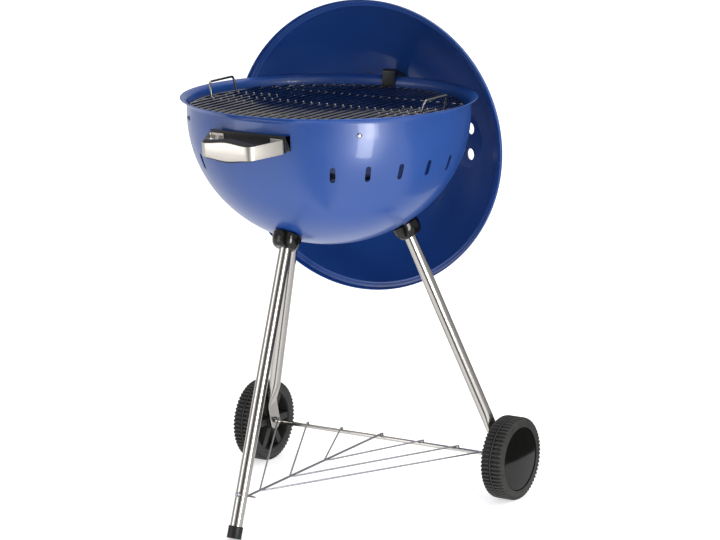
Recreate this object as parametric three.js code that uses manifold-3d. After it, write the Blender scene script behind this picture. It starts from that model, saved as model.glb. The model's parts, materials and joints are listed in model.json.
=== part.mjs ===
// Floor-standing kettle charcoal barbecue with two wheels and its lid hung behind the bowl.
// Millimetres, +Z up. Everything is drawn round the bowl axis, with z = 0 on the ground: the
// front leg and the bowl handle are towards -Y, the axle lies along X on the +Y side. The last
// lines move the whole group, so that its origin is on the ground in the middle of its outer box.
import * as THREE from "three";
import { mergeVertices } from "three/addons/utils/BufferGeometryUtils.js";
import Module from "manifold-3d";

const wasm = await Module();
wasm.setup();

// ---------- driving dimensions ----------
const GAP = 0.35; // play between touching pieces
const VESSEL_SIDES = 40; // facets round the bowl and the lid

const BOWL_RADIUS = 285; // outside of the straight wall
const BOWL_TOP = 836; // top of the rim
const RIM_RADIUS = 298; // outer edge of the flared rim
const SHEET = 1.5; // steel sheet of bowl and lid
const WALL_FOOT = BOWL_TOP - 30; // where the straight wall turns into the bottom
const BOTTOM_DEPTH = 267; // from the wall foot to the lowest point

const SLOT_WIDTH = 11;
const SLOT_HEIGHT = 32;
const SLOT_Z = 722;
const SLOT_FIRST = 34.5; // degrees from the front leg
const SLOT_PITCH = 14.8;
const SLOTS_PER_GROUP = 5;

const LEG_RADIUS = 12.5;
const LEG_WALL = 1.5;
const LEG_SIDES = 20;
const LEG_TOP_RADIUS = 150; // distance of the leg tops from the bowl axis
const FOOT_REACH = 350; // distance of the front foot from the bowl axis
const LEG_BOLT_RADIUS = 4;

const WHEEL_RADIUS = 85.5;
const AXLE_Y = 207;
const AXLE_Z = WHEEL_RADIUS; // the wheels stand on the ground
const AXLE_RADIUS = 4.3;
const TAB_X = 276; // middle of the flattened end of a rear leg
const TAB_HALF = 2.2;
const TAB_WIDTH = 16.5; // half width
const TAB_BEND = 42; // axle to the bend, along the tab

const WHEEL_IN = 280.6; // inner face of the wheel
const WHEEL_OUT = 328.6; // outer face
const CAP_RADIUS = 65.5;
const HUB_RADIUS = 17;
const HUB_LENGTH = 34;

const WIRE = 1.75; // radius of the V wires
const SPINE = 2.3; // radius of the spine
const RACK_FRONT_Z = 84; // height of its hole in the front leg
const RACK_PIN = 20; // length of the straight pin on either side of the middle of the leg
const RACK_SKEW = -10; // the rack sits this far sideways on the axle
const RACK_Y = [-246, -135, -3]; // where the V wires meet the spine
const RACK_X = [259, 185, 100]; // where they rest on the axle, from its own middle

const GRATE_Z = 817.5; // middle of the cooking bars
const GRATE_RING = 274;
const GRATE_PITCH = 18.6;
const GRATE_SIDE_BARS = 13; // bars on each side of the middle one
const GRATE_BAR = 2.5;
const GRATE_TURN = 1.5; // degrees
const GRATE_SHIFT = -5; // it lies this far sideways in the bowl
const COALS_RING = 212;
const COALS_PITCH = 28;
const COALS_SIDE_BARS = 7;
const COALS_BAR = 2.8;

const LID_TURN = 7; // degrees, the hook sits a little to the -X side of +Y
const LID_OUT = 171; // from the bowl axis to the plane of the lid rim
const LID_Z = 708;
const LID_LIP = 301;
const LID_BASE = 287; // radius where the dome starts
const LID_LEDGE = 16; // depth of the ledge inside the rim
const LID_RISE = 180; // height of the dome
const DOME_RADIUS = (LID_BASE ** 2 + LID_RISE ** 2) / (2 * LID_RISE);
const VENT_X = 162; // vent middle, sideways from the lid axis
const VENT_FLAT = 58;
const VENT_HOLE = 12;
const VENT_REACH = 31;
const DAMPER_RADIUS = 50;
const DAMPER_THICK = 1.2;
const PIVOT_RADIUS = 3;
const LID_HANDLE_FACE = 8; // plate front face beyond the top of the dome

const BAND = 2; // handle strip thickness
const HANDLE_FACE = 288; // front face of the back plate, from the bowl axis
const HANDLE_Z = 782;
const HANDLE_TILT = 5.6; // degrees, square to the wall of the bowl there
const HANDLE_REACH = 76;
const HANDLE_FOOT = 88; // half length of the handle where it meets the vessel
const HANDLE_BEND = 56; // half length of its straight front
const PLATE_LOW = -14; // back plate, from the handle middle
const PLATE_HIGH = 20;
const SCREW_XS = [-77, -62.5, 62.5, 77]; // handle screws, two at each end
const SCREW_DZ = 5; // their height above the handle middle
const SCREW_RADIUS = 2.4;
const SCREW_HOLE = 2.5 + GAP;

// ---------- small helpers ----------
const rad = THREE.MathUtils.degToRad;
const vec = (x, y, z) => new THREE.Vector3(x, y, z);

// a closed geometry as a solid for adding and cutting
function solid(geometry) {
  const bare = geometry.clone();
  bare.deleteAttribute("normal");
  bare.deleteAttribute("uv");
  const welded = mergeVertices(bare, 1e-4);
  const mesh = new wasm.Mesh({
    numProp: 3,
    vertProperties: new Float32Array(welded.attributes.position.array),
    triVerts: new Uint32Array(welded.index.array),
  });
  return new wasm.Manifold(mesh);
}

// a solid back as a geometry
function shape(body) {
  const mesh = body.getMesh();
  const geometry = new THREE.BufferGeometry();
  geometry.setAttribute("position", new THREE.BufferAttribute(mesh.vertProperties, 3));
  geometry.setIndex(new THREE.BufferAttribute(mesh.triVerts, 1));
  geometry.computeVertexNormals();
  return geometry;
}

const joined = (bodies) => bodies.reduce((sum, body) => sum.add(body));
const cutBy = (body, cutters) => cutters.reduce((rest, cutter) => rest.subtract(cutter), body);

// round rod between two points
function rod(from, to, radius, sides = 8) {
  const along = to.clone().sub(from);
  const geometry = new THREE.CylinderGeometry(radius, radius, along.length(), sides);
  const turn = new THREE.Quaternion().setFromUnitVectors(vec(0, 1, 0), along.clone().normalize());
  geometry.applyQuaternion(turn);
  geometry.translate(...from.clone().add(to).multiplyScalar(0.5).toArray());
  return solid(geometry);
}

// body of revolution about +Y from [radius, height] points
function lathe(points, sides) {
  const profile = points.map(([r, y]) => new THREE.Vector2(r, y));
  if (THREE.ShapeUtils.area(profile) < 0) profile.reverse();
  return new THREE.LatheGeometry(profile, sides);
}

// the same about +Z
function revolved(points, sides = 32) {
  return lathe(points, sides).rotateX(Math.PI / 2);
}

// moves a geometry drawn about +Z so that +Z becomes `axis` and its origin becomes `at`
function aimed(geometry, at, axis) {
  const turn = new THREE.Quaternion().setFromUnitVectors(vec(0, 0, 1), axis.clone().normalize());
  return geometry.applyQuaternion(turn).translate(at.x, at.y, at.z);
}

// path straight from point to point, sampled at the points themselves
class Bent extends THREE.Curve {
  constructor(points) {
    super();
    this.points = points;
  }

  getUtoTmapping(u) {
    return u;
  }

  getPoint(t) {
    const last = this.points.length - 1;
    const i = Math.min(Math.floor(t * last), last - 1);
    return this.points[i].clone().lerp(this.points[i + 1], t * last - i);
  }

  getTangent(t) {
    const last = this.points.length - 1;
    const i = Math.round(t * last);
    const before = this.points[Math.max(i, 1)].clone().sub(this.points[Math.max(i, 1) - 1]);
    const after = this.points[Math.min(i, last - 1) + 1].clone().sub(this.points[Math.min(i, last - 1)]);
    return before.normalize().add(after.normalize()).normalize();
  }
}

// wire bent along points; corners keep a small round
function wire(points, radius, bend) {
  const path = [points[0]];
  for (let i = 1; i < points.length - 1; i += 1) {
    const towards = (p) => p.clone().sub(points[i]).setLength(bend).add(points[i]);
    const arc = new THREE.QuadraticBezierCurve3(towards(points[i - 1]), points[i], towards(points[i + 1]));
    path.push(...arc.getPoints(2));
  }
  path.push(points[points.length - 1]);
  const circle = new THREE.Shape(new THREE.EllipseCurve(0, 0, radius, radius).getPoints(6).slice(0, -1));
  const options = { steps: path.length - 1, extrudePath: new Bent(path), bevelEnabled: false };
  return solid(new THREE.ExtrudeGeometry(circle, options));
}

// polyline [x, y] with its inner corners rounded
function rounded(points, reaches, steps = 3) {
  const out = [points[0]];
  for (let i = 1; i < points.length - 1; i += 1) {
    const reach = reaches[i - 1];
    const corner = new THREE.Vector2(...points[i]);
    const enter = new THREE.Vector2(...points[i - 1]).sub(corner).setLength(reach).add(corner);
    const leave = new THREE.Vector2(...points[i + 1]).sub(corner).setLength(reach).add(corner);
    const arc = new THREE.QuadraticBezierCurve(enter, corner, leave);
    out.push(...arc.getPoints(steps).map((p) => [p.x, p.y]));
  }
  out.push(points[points.length - 1]);
  return out;
}

// closed outline of a strip that follows a polyline
function stripShape(path, thickness) {
  const offset = (side) =>
    path.map(([x, y], i) => {
      const [ax, ay] = path[Math.max(i - 1, 0)];
      const [bx, by] = path[Math.min(i + 1, path.length - 1)];
      const along = new THREE.Vector2(bx - ax, by - ay).normalize();
      return new THREE.Vector2(x - (along.y * side * thickness) / 2, y + (along.x * side * thickness) / 2);
    });
  return new THREE.Shape([...offset(1), ...offset(-1).reverse()]);
}

// solid skin through rings of points, closed at both ends
function skinned(rings) {
  const count = rings[0].length;
  const points = rings.flat();
  const faces = [];
  for (let k = 0; k < rings.length - 1; k += 1) {
    for (let i = 0; i < count; i += 1) {
      const a = k * count + i;
      const b = k * count + ((i + 1) % count);
      faces.push(a, b, a + count, b, b + count, a + count);
    }
  }
  for (let i = 1; i < count - 1; i += 1) {
    const top = (rings.length - 1) * count;
    faces.push(0, i + 1, i, top, top + i, top + i + 1);
  }
  const geometry = new THREE.BufferGeometry().setFromPoints(points);
  geometry.setIndex(faces);
  return solid(geometry);
}

const paint = {
  enamel: [0x33509a, 0.25, 0.0],
  black: [0x1b1b1c, 0.45, 0.0],
  gloss: [0x101011, 0.15, 0.0],
  steel: [0xb9b7b2, 0.25, 1.0],
  satin: [0xcfc8bb, 0.4, 1.0],
  zinc: [0xa9aab0, 0.35, 1.0],
  chrome: [0x9a9a98, 0.3, 1.0],
  tyre: [0x242425, 0.8, 0.0],
};

function piece(parent, name, geometry, [color, roughness, metalness]) {
  const material = new THREE.MeshStandardMaterial({ color, roughness, metalness });
  const mesh = new THREE.Mesh(geometry, material);
  mesh.name = name;
  parent.add(mesh);
}

// ---------- bowl ----------
// quarter ellipse from the wall foot to the axis
function bottomCurve(inset, steps) {
  const points = [];
  for (let i = 0; i <= steps; i += 1) {
    const angle = ((i / steps) * Math.PI) / 2;
    const radius = (BOWL_RADIUS - inset) * Math.cos(angle);
    points.push([i === steps ? 0 : radius, WALL_FOOT - (BOTTOM_DEPTH - inset) * Math.sin(angle)]);
  }
  return points;
}

// quarter circle flare from the wall out to the rim edge
function flareCurve(radius, steps) {
  const points = [];
  for (let i = 0; i <= steps; i += 1) {
    const angle = ((i / steps) * Math.PI) / 2;
    points.push([RIM_RADIUS - radius * Math.cos(angle), BOWL_TOP - FLARE - SHEET + radius * Math.sin(angle)]);
  }
  return points;
}

const FLARE = RIM_RADIUS - BOWL_RADIUS;
const SLOT_ANGLES = [];
for (let i = 0; i < SLOTS_PER_GROUP; i += 1) {
  const step = i * SLOT_PITCH;
  SLOT_ANGLES.push(SLOT_FIRST + step, -SLOT_FIRST - step);
  SLOT_ANGLES.push(180 + step - (SLOT_PITCH * (SLOTS_PER_GROUP - 1)) / 2);
}
const SUPPORT_ANGLES = [45, 135, 225, 315];
const SUPPORT_SCREW_Z = 801;

// point on a circle round the bowl axis; 0 degrees is the front leg, +90 is +X
const around = (degrees, radius, z) =>
  vec(radius * Math.sin(rad(degrees)), -radius * Math.cos(rad(degrees)), z);

function slotCutter(degrees) {
  const half = SLOT_WIDTH / 2;
  const rise = SLOT_HEIGHT / 2 - half;
  const outline = new THREE.Shape();
  outline.absarc(0, rise, half, 0, Math.PI);
  outline.absarc(0, -rise, half, Math.PI, 2 * Math.PI);
  const depth = 60;
  const geometry = new THREE.ExtrudeGeometry(outline, { depth, bevelEnabled: false, curveSegments: 3 });
  geometry.rotateX(Math.PI / 2).translate(0, -BOWL_RADIUS + depth, SLOT_Z);
  return solid(geometry.rotateZ(rad(degrees)));
}

// surface of the bowl under a leg: bolt point and downward normal
function legSeat(degrees) {
  const share = LEG_TOP_RADIUS / BOWL_RADIUS;
  const drop = Math.sqrt(1 - share ** 2);
  const at = around(degrees, LEG_TOP_RADIUS, WALL_FOOT - BOTTOM_DEPTH * drop);
  const slope = Math.atan((BOTTOM_DEPTH / BOWL_RADIUS) * (share / drop));
  const out = around(degrees, Math.sin(slope), -Math.cos(slope));
  return { at, out };
}

const REAR = [120, 240];
const seats = { front: legSeat(0), rear_right: legSeat(REAR[0]), rear_left: legSeat(REAR[1]) };
const axlePoint = (side) => vec(side * TAB_X, AXLE_Y, AXLE_Z);
const tabUp = vec(0, seats.rear_right.at.y - AXLE_Y, seats.rear_right.at.z - AXLE_Z).normalize();
const bendPoint = (side) => axlePoint(side).addScaledVector(tabUp, TAB_BEND);
const footPoint = around(0, FOOT_REACH, 0);
const legEnds = { front: footPoint, rear_right: bendPoint(1), rear_left: bendPoint(-1) };
const legLine = (name) => legEnds[name].clone().sub(seats[name].at).normalize();

// from the frame of the bowl handle to the bowl
const handlePlace = new THREE.Matrix4().makeRotationX(rad(HANDLE_TILT));
handlePlace.setPosition(0, -HANDLE_FACE, HANDLE_Z);

function bowl() {
  const outer = [...flareCurve(FLARE, 3).reverse(), ...bottomCurve(0, 7)];
  const inner = [...flareCurve(FLARE + SHEET, 3).reverse(), ...bottomCurve(SHEET, 7)].reverse();
  let body = solid(revolved([...inner, ...outer], VESSEL_SIDES));
  body = cutBy(body, SLOT_ANGLES.map(slotCutter));
  for (const degrees of SUPPORT_ANGLES) {
    const inside = around(degrees, 250, SUPPORT_SCREW_Z);
    body = body.subtract(rod(inside, around(degrees, 300, SUPPORT_SCREW_Z), SCREW_HOLE));
  }
  for (const x of SCREW_XS) {
    const outside = vec(x, -12, SCREW_DZ).applyMatrix4(handlePlace);
    const inside = vec(x, 48, SCREW_DZ).applyMatrix4(handlePlace);
    body = body.subtract(rod(inside, outside, SCREW_HOLE));
  }
  for (const name of Object.keys(seats)) {
    const line = legLine(name);
    const inside = seats[name].at.clone().addScaledVector(line, -15);
    const outside = seats[name].at.clone().addScaledVector(line, 15);
    body = body.subtract(rod(inside, outside, LEG_BOLT_RADIUS + GAP));
  }
  return shape(body);
}

// everything inside the outer skin of the bowl, grown by the gap, in the frame of the bowl handle
function bowlSpace() {
  const above = BOWL_TOP + 50;
  const profile = [[0, above], [BOWL_RADIUS + GAP, above], ...bottomCurve(-GAP, 7)];
  return solid(revolved(profile, VESSEL_SIDES).applyMatrix4(handlePlace.clone().invert()));
}

// bracket inside the wall that carries the cooking grate
const SHELF_Z = GRATE_Z - 6 - GAP;
function grateSupport(degrees) {
  const wall = BOWL_RADIUS - SHEET - 3.4; // clear of the wall where it starts to curve in
  const plate = new THREE.BoxGeometry(20, 2, 26).translate(0, -wall + 1.2, SHELF_Z - 13);
  const shelf = new THREE.BoxGeometry(20, 24, 2).translate(0, -wall + 12.2, SHELF_Z - 1);
  const inside = around(0, 200, SUPPORT_SCREW_Z);
  let body = solid(plate).add(solid(shelf));
  body = body.subtract(rod(inside, around(0, 300, SUPPORT_SCREW_Z), 2.5 + GAP / 2));
  return shape(body).rotateZ(rad(degrees));
}

// screw along +Z: head outside at z > 0, shank of `length` behind it
function screw(length, shank, head, height) {
  return revolved([
    [0, -length], [shank, -length], [shank, 0], [head, 0], [head * 0.9, height * 0.7], [0, height],
  ], 8);
}

function supportScrew(degrees) {
  const at = around(degrees, BOWL_RADIUS + GAP, SUPPORT_SCREW_Z);
  return aimed(screw(12, 2.3, 5, 3), at, around(degrees, 1, 0));
}

// ---------- legs ----------
function tube(from, to, radius, wall, sides) {
  const long = to.clone().addScaledVector(to.clone().sub(from).normalize(), 5);
  const past = from.clone().sub(to.clone().sub(from).setLength(-6));
  return rod(from, to, radius, sides).subtract(rod(past, long, radius - wall, sides));
}

const LEG_START = 4; // leg tops stay this far from the bowl skin, along the leg
function legTop(name) {
  return seats[name].at.clone().addScaledVector(legLine(name), LEG_START);
}

// threaded end plate that the leg bolt screws into
function endBore(name) {
  const line = legLine(name);
  const top = legTop(name);
  const deep = top.clone().addScaledVector(line, 12);
  return rod(top.addScaledVector(line, -5), deep, LEG_BOLT_RADIUS + GAP);
}

function frontLeg() {
  const line = legLine("front");
  const end = footPoint.clone().addScaledVector(line, -6);
  let body = tube(legTop("front"), end, LEG_RADIUS, LEG_WALL, LEG_SIDES);
  body = body.subtract(endBore("front"));
  const ahead = rackAtLeg().addScaledVector(pinAxis, RACK_PIN);
  const behind = rackAtLeg().addScaledVector(pinAxis, -RACK_PIN);
  body = body.subtract(rod(ahead, behind, SPINE + 0.9));
  return shape(body);
}

// rings of a rear leg: round tube, squeezed flat towards the bend, rounded tab end
function rearLegRings(side, shrink) {
  const name = side > 0 ? "rear_right" : "rear_left";
  const line = legLine(name);
  const bend = bendPoint(side);
  const thick = vec(1, 0, 0).addScaledVector(line, -line.x).normalize();
  const wide = line.clone().cross(thick).normalize();
  const flatWide = tabUp.clone().negate().cross(vec(1, 0, 0)).normalize();
  const stations = [
    [legTop(name), LEG_RADIUS, LEG_RADIUS, 2, thick, wide],
    [bend.clone().addScaledVector(line, -62), LEG_RADIUS, LEG_RADIUS, 2, thick, wide],
    [bend.clone().addScaledVector(line, -46), 11, 13.4, 2.2, thick, wide],
    [bend.clone().addScaledVector(line, -24), 6.6, 15.6, 2.8, thick, wide],
    [bend.clone(), TAB_HALF, TAB_WIDTH, 4, vec(1, 0, 0), flatWide],
    [axlePoint(side), TAB_HALF, TAB_WIDTH, 4, vec(1, 0, 0), flatWide],
    [axlePoint(side).addScaledVector(tabUp, -9), TAB_HALF, 14, 4, vec(1, 0, 0), flatWide],
    [axlePoint(side).addScaledVector(tabUp, -14.5), TAB_HALF, 8.5, 4, vec(1, 0, 0), flatWide],
    [axlePoint(side).addScaledVector(tabUp, -16.5), TAB_HALF, 3.5, 4, vec(1, 0, 0), flatWide],
  ];
  const kept = shrink ? stations.slice(0, 3) : stations;
  return kept.map(([at, a, b, power, u, v]) => {
    const ring = [];
    for (let i = 0; i < LEG_SIDES; i += 1) {
      const angle = (i / LEG_SIDES) * 2 * Math.PI;
      const c = Math.sign(Math.cos(angle)) * Math.abs(Math.cos(angle)) ** (2 / power);
      const s = Math.sign(Math.sin(angle)) * Math.abs(Math.sin(angle)) ** (2 / power);
      ring.push(at.clone().addScaledVector(u, (a - shrink) * c).addScaledVector(v, (b - shrink) * s));
    }
    return ring;
  });
}

function rearLeg(side) {
  const name = side > 0 ? "rear_right" : "rear_left";
  const line = legLine(name);
  const hollow = rearLegRings(side, LEG_WALL);
  hollow[0] = hollow[0].map((p) => p.addScaledVector(line, 6));
  let body = skinned(rearLegRings(side, 0)).subtract(skinned(hollow));
  body = body.subtract(endBore(name));
  const inside = axlePoint(side).add(vec(-20, 0, 0));
  const outside = axlePoint(side).add(vec(20, 0, 0));
  return shape(body.subtract(rod(inside, outside, AXLE_RADIUS + GAP, 12)));
}

// cup against the bowl with the leg coming out of its bottom
const SOCKET_RADIUS = 29;
function legSocket(name) {
  const { at, out } = seats[name];
  const deep = 31;
  const wall = 3;
  const rise = SOCKET_RADIUS ** 2 / (2 * BOTTOM_DEPTH);
  const outer = [];
  const inner = [];
  for (let i = 0; i <= 3; i += 1) {
    const angle = ((i / 3) * Math.PI) / 2;
    outer.push([17 + (SOCKET_RADIUS - 17) * Math.cos(angle), 8 + (deep - 8) * Math.sin(angle)]);
    inner.push([16 + (SOCKET_RADIUS - wall - 16) * Math.cos(angle), 8 + (deep - 8 - wall) * Math.sin(angle)]);
  }
  const rim = [[SOCKET_RADIUS - wall, rise + GAP], [SOCKET_RADIUS, rise + GAP]];
  const closedTop = [[0, deep], [0, deep - wall]];
  const profile = [...outer, ...closedTop, ...inner.reverse(), ...rim];
  const cup = solid(aimed(revolved([...profile, profile[0]], 18), at, out));
  const end = at.clone().addScaledVector(legLine(name), 60);
  return shape(cup.subtract(rod(at, end, LEG_RADIUS + GAP, LEG_SIDES)));
}

function legBolt(name) {
  const line = legLine(name).negate();
  const at = seats[name].at.clone().addScaledVector(line, SHEET + 4);
  return aimed(screw(30, LEG_BOLT_RADIUS - 0.2, 9, 5), at, line);
}

// cap on the lower end, with a flat worn where it stands on the ground
function footCap() {
  const line = legLine("front");
  const wall = 1.8;
  const outside = LEG_RADIUS + GAP + wall;
  const end = footPoint.clone().addScaledVector(line, -2.3);
  const profile = [
    [0, 0], [outside - 1.2, 0], [outside, 1.2], [outside, 25], [LEG_RADIUS + GAP, 25],
    [LEG_RADIUS + GAP, 3.2], [0, 3.2],
  ];
  const cup = solid(aimed(revolved(profile, LEG_SIDES), end, line.clone().negate()));
  const ground = solid(new THREE.BoxGeometry(80, 80, 40).translate(0, footPoint.y, -20));
  return shape(cup.subtract(ground));
}

// ---------- axle and wheels ----------
const AXLE_HALF = 321;
function axle() {
  return shape(rod(vec(-AXLE_HALF, AXLE_Y, AXLE_Z), vec(AXLE_HALF, AXLE_Y, AXLE_Z), AXLE_RADIUS, 16));
}

// wheel drawn about +Z with z = 0 at its inner face
function wheel(side) {
  const width = WHEEL_OUT - WHEEL_IN;
  const bore = AXLE_RADIUS + GAP;
  const tyre = solid(revolved([
    [CAP_RADIUS - 4, 4], [CAP_RADIUS + 4, 0], [WHEEL_RADIUS - 5, 0], [WHEEL_RADIUS, 5],
    [WHEEL_RADIUS, width - 5], [WHEEL_RADIUS - 5, width], [CAP_RADIUS + GAP, width],
    [CAP_RADIUS + GAP, width - 7], [CAP_RADIUS - 4, width - 10], [CAP_RADIUS - 4, 4],
  ], 36));
  const hub = solid(revolved([
    [bore, 0], [HUB_RADIUS, 0], [HUB_RADIUS, HUB_LENGTH], [bore, HUB_LENGTH], [bore, 0],
  ], 16));
  const webIn = HUB_RADIUS - 1;
  const webOut = CAP_RADIUS - 3;
  const web = solid(revolved([[webIn, 26], [webOut, 26], [webOut, 29], [webIn, 29], [webIn, 26]], 20));
  const spokes = [];
  for (let i = 0; i < 6; i += 1) {
    const spoke = new THREE.BoxGeometry(CAP_RADIUS - HUB_RADIUS, 14, 22);
    spoke.translate((CAP_RADIUS + HUB_RADIUS) / 2 - 1, 0, 15).rotateZ((i * Math.PI) / 3);
    spokes.push(solid(spoke));
  }
  const body = shape(joined([tyre, hub, web, ...spokes]));
  return aimed(body, vec(side * WHEEL_IN, AXLE_Y, AXLE_Z), vec(side, 0, 0));
}

// domed cap clipped into the outer face
function hubCap(side) {
  const width = WHEEL_OUT - WHEEL_IN;
  const profile = [
    [0, width - 3], [CAP_RADIUS - 3, width - 6.6],
    [CAP_RADIUS, width - 6.6], [CAP_RADIUS, width - 3.4], [45, width - 1], [0, width],
  ];
  return aimed(revolved(profile, 36), vec(side * WHEEL_IN, AXLE_Y, AXLE_Z), vec(side, 0, 0));
}

function pushNut(side) {
  const start = side * (WHEEL_IN + HUB_LENGTH + GAP);
  const profile = [
    [AXLE_RADIUS + 0.5, 0], [9, 0], [9, 1.5], [6.5, 4], [AXLE_RADIUS + 0.5, 4], [AXLE_RADIUS + 0.5, 0],
  ];
  return aimed(revolved(profile, 12), vec(start, AXLE_Y, AXLE_Z), vec(side, 0, 0));
}

// ---------- wire rack ----------
const RACK_REAR_Z = AXLE_Z + AXLE_RADIUS + WIRE + GAP; // wires lie on top of the axle
function rackAtLeg() {
  const line = legLine("front");
  return seats.front.at.clone().addScaledVector(line, (RACK_FRONT_Z - seats.front.at.z) / line.z);
}

// forwards and square to the front leg
const pinAxis = vec(0, legLine("front").z, -legLine("front").y);

function wireRack() {
  const front = rackAtLeg();
  const spineRear = RACK_REAR_Z + SPINE - WIRE;
  const start = front.clone().addScaledVector(pinAxis, -RACK_PIN);
  const share = (y) => (y - start.y) / (AXLE_Y - start.y);
  const height = (y) => start.z + share(y) * (spineRear - start.z);
  const behindAxle = AXLE_Y + AXLE_RADIUS + 3.5;
  const hooked = (x, z) => [
    vec(x, AXLE_Y + 3, z),
    vec(x * 1.004, behindAxle, z - 1),
    vec(x * 1.004, behindAxle, z - 8),
  ];
  const tip = front.clone().addScaledVector(pinAxis, RACK_PIN);
  const wires = [wire([tip, start, ...hooked(RACK_SKEW, spineRear)], SPINE, 3)];
  const stopY = start.y + 2; // short bar that rests against the leg
  wires.push(rod(vec(-18, stopY, height(stopY)), vec(18, stopY, height(stopY)), WIRE, 6));
  RACK_Y.forEach((y, i) => {
    const low = height(y) - SPINE - WIRE + 1;
    for (const side of [-1, 1]) {
      const apex = vec(share(y) * RACK_SKEW - side * 4, y - 3, low);
      wires.push(wire([apex, ...hooked(RACK_SKEW + side * RACK_X[i], RACK_REAR_Z)], WIRE, 3));
    }
  });
  return shape(joined(wires));
}

function rackNut() {
  const face = rackAtLeg().addScaledVector(pinAxis, LEG_RADIUS + GAP);
  const profile = [[SPINE + 0.5, 0], [6, 0], [6, 4], [4, 6], [SPINE + 0.5, 6], [SPINE + 0.5, 0]];
  return aimed(revolved(profile, 12), face, pinAxis);
}

// ---------- cooking grate and charcoal grate ----------
function ringWire(radius, thick, z, sides) {
  const geometry = new THREE.TorusGeometry(radius, thick, 4, sides).translate(0, 0, z);
  return solid(geometry);
}

function parallelBars(radius, pitch, sideBars, thick, z) {
  const bars = [];
  for (let i = -sideBars; i <= sideBars; i += 1) {
    const x = i * pitch;
    const half = Math.sqrt(radius ** 2 - x ** 2);
    bars.push(rod(vec(x, -half, z), vec(x, half, z), thick, 4));
  }
  return joined(bars);
}

function cookingGrate() {
  const low = GRATE_Z - 3.4;
  const parts = [ringWire(GRATE_RING, 3, GRATE_Z - 3, 44)];
  parts.push(parallelBars(GRATE_RING, GRATE_PITCH, GRATE_SIDE_BARS, GRATE_BAR, GRATE_Z));
  for (const y of [-150, 0, 150]) {
    const half = Math.sqrt(GRATE_RING ** 2 - y ** 2);
    parts.push(rod(vec(-half, y, low), vec(half, y, low), GRATE_BAR, 4));
  }
  for (const side of [-1, 1]) {
    for (const y of [-47, 47]) {
      const end = Math.sqrt(GRATE_RING ** 2 - y ** 2);
      parts.push(rod(vec(side * 146, y, low), vec(side * end, y, low), GRATE_BAR, 4));
    }
    const foot = (y) => vec(side * 244, y, low);
    const top = (y) => vec(side * 252, y * 0.92, GRATE_Z + 33);
    parts.push(wire([foot(-47), top(-47), top(47), foot(47)], 2.5, 9));
  }
  return shape(joined(parts)).rotateZ(rad(GRATE_TURN)).translate(GRATE_SHIFT, 0, 0);
}

// height at which the charcoal ring just rests in the bowl
function coalsHeight() {
  const share = COALS_RING / (BOWL_RADIUS - SHEET);
  const drop = Math.sqrt(1 - share ** 2);
  const slope = Math.atan(((BOTTOM_DEPTH - SHEET) / (BOWL_RADIUS - SHEET)) * (share / drop));
  return WALL_FOOT - (BOTTOM_DEPTH - SHEET) * drop + (3.5 + 1.6) / Math.cos(slope);
}

function charcoalGrate() {
  const z = coalsHeight();
  const parts = [ringWire(COALS_RING, 3.5, z, 36)];
  parts.push(parallelBars(COALS_RING, COALS_PITCH, COALS_SIDE_BARS, COALS_BAR, z + 2));
  for (const y of [-80, 80]) {
    const half = Math.sqrt(COALS_RING ** 2 - y ** 2);
    parts.push(rod(vec(-half, y, z - 0.5), vec(half, y, z - 0.5), COALS_BAR, 4));
  }
  return shape(joined(parts));
}

// ---------- handles ----------
// Handle frame: X sideways, -Y outwards from the vessel, front face of the back plate at y = 0.
function handleBand() {
  const inner = -GAP - BAND / 2;
  const half = [[55, inner], [HANDLE_FOOT, inner], [HANDLE_BEND, -HANDLE_REACH]];
  const path = [...half, ...half.map(([x, y]) => [-x, y]).reverse()];
  const strip = stripShape(rounded(path, [7, 12, 12, 7]), BAND);
  const geometry = new THREE.ExtrudeGeometry(strip, { depth: 50, bevelEnabled: false });
  let body = solid(geometry.translate(0, 0, -25)).intersect(bellyBlock(14, 18.5));
  for (const x of SCREW_XS) {
    body = body.subtract(rod(vec(x, -20, SCREW_DZ), vec(x, 20, SCREW_DZ), SCREW_HOLE));
  }
  return body;
}

// block seen from the front: straight at the ends, swelling between the bends
function bellyBlock(end, middle) {
  const outline = new THREE.Shape();
  outline.moveTo(-120, -end);
  outline.lineTo(-50, -end);
  outline.bezierCurveTo(-25, -end, -25, -middle, 0, -middle);
  outline.bezierCurveTo(25, -middle, 25, -end, 50, -end);
  outline.lineTo(120, -end);
  outline.lineTo(120, end);
  outline.lineTo(50, end);
  outline.bezierCurveTo(25, end, 25, middle, 0, middle);
  outline.bezierCurveTo(-25, middle, -25, end, -50, end);
  outline.lineTo(-120, end);
  const geometry = new THREE.ExtrudeGeometry(outline, { depth: 140, bevelEnabled: false, curveSegments: 4 });
  return solid(geometry.rotateX(Math.PI / 2).translate(0, 40, 0));
}

function handleGrip() {
  const front = -HANDLE_REACH + BAND / 2 + GAP;
  const back = front + 18;
  const outline = new THREE.Shape();
  outline.moveTo(-44, front);
  outline.lineTo(44, front);
  outline.quadraticCurveTo(53, front, 56, front + 7);
  outline.lineTo(60, back - 3);
  outline.quadraticCurveTo(60, back, 55, back);
  outline.lineTo(-55, back);
  outline.quadraticCurveTo(-60, back, -60, back - 3);
  outline.lineTo(-56, front + 7);
  outline.quadraticCurveTo(-53, front, -44, front);
  const geometry = new THREE.ExtrudeGeometry(outline, { depth: 50, bevelEnabled: false, curveSegments: 3 });
  return solid(geometry.translate(0, 0, -25)).intersect(bellyBlock(16, 21));
}

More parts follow.
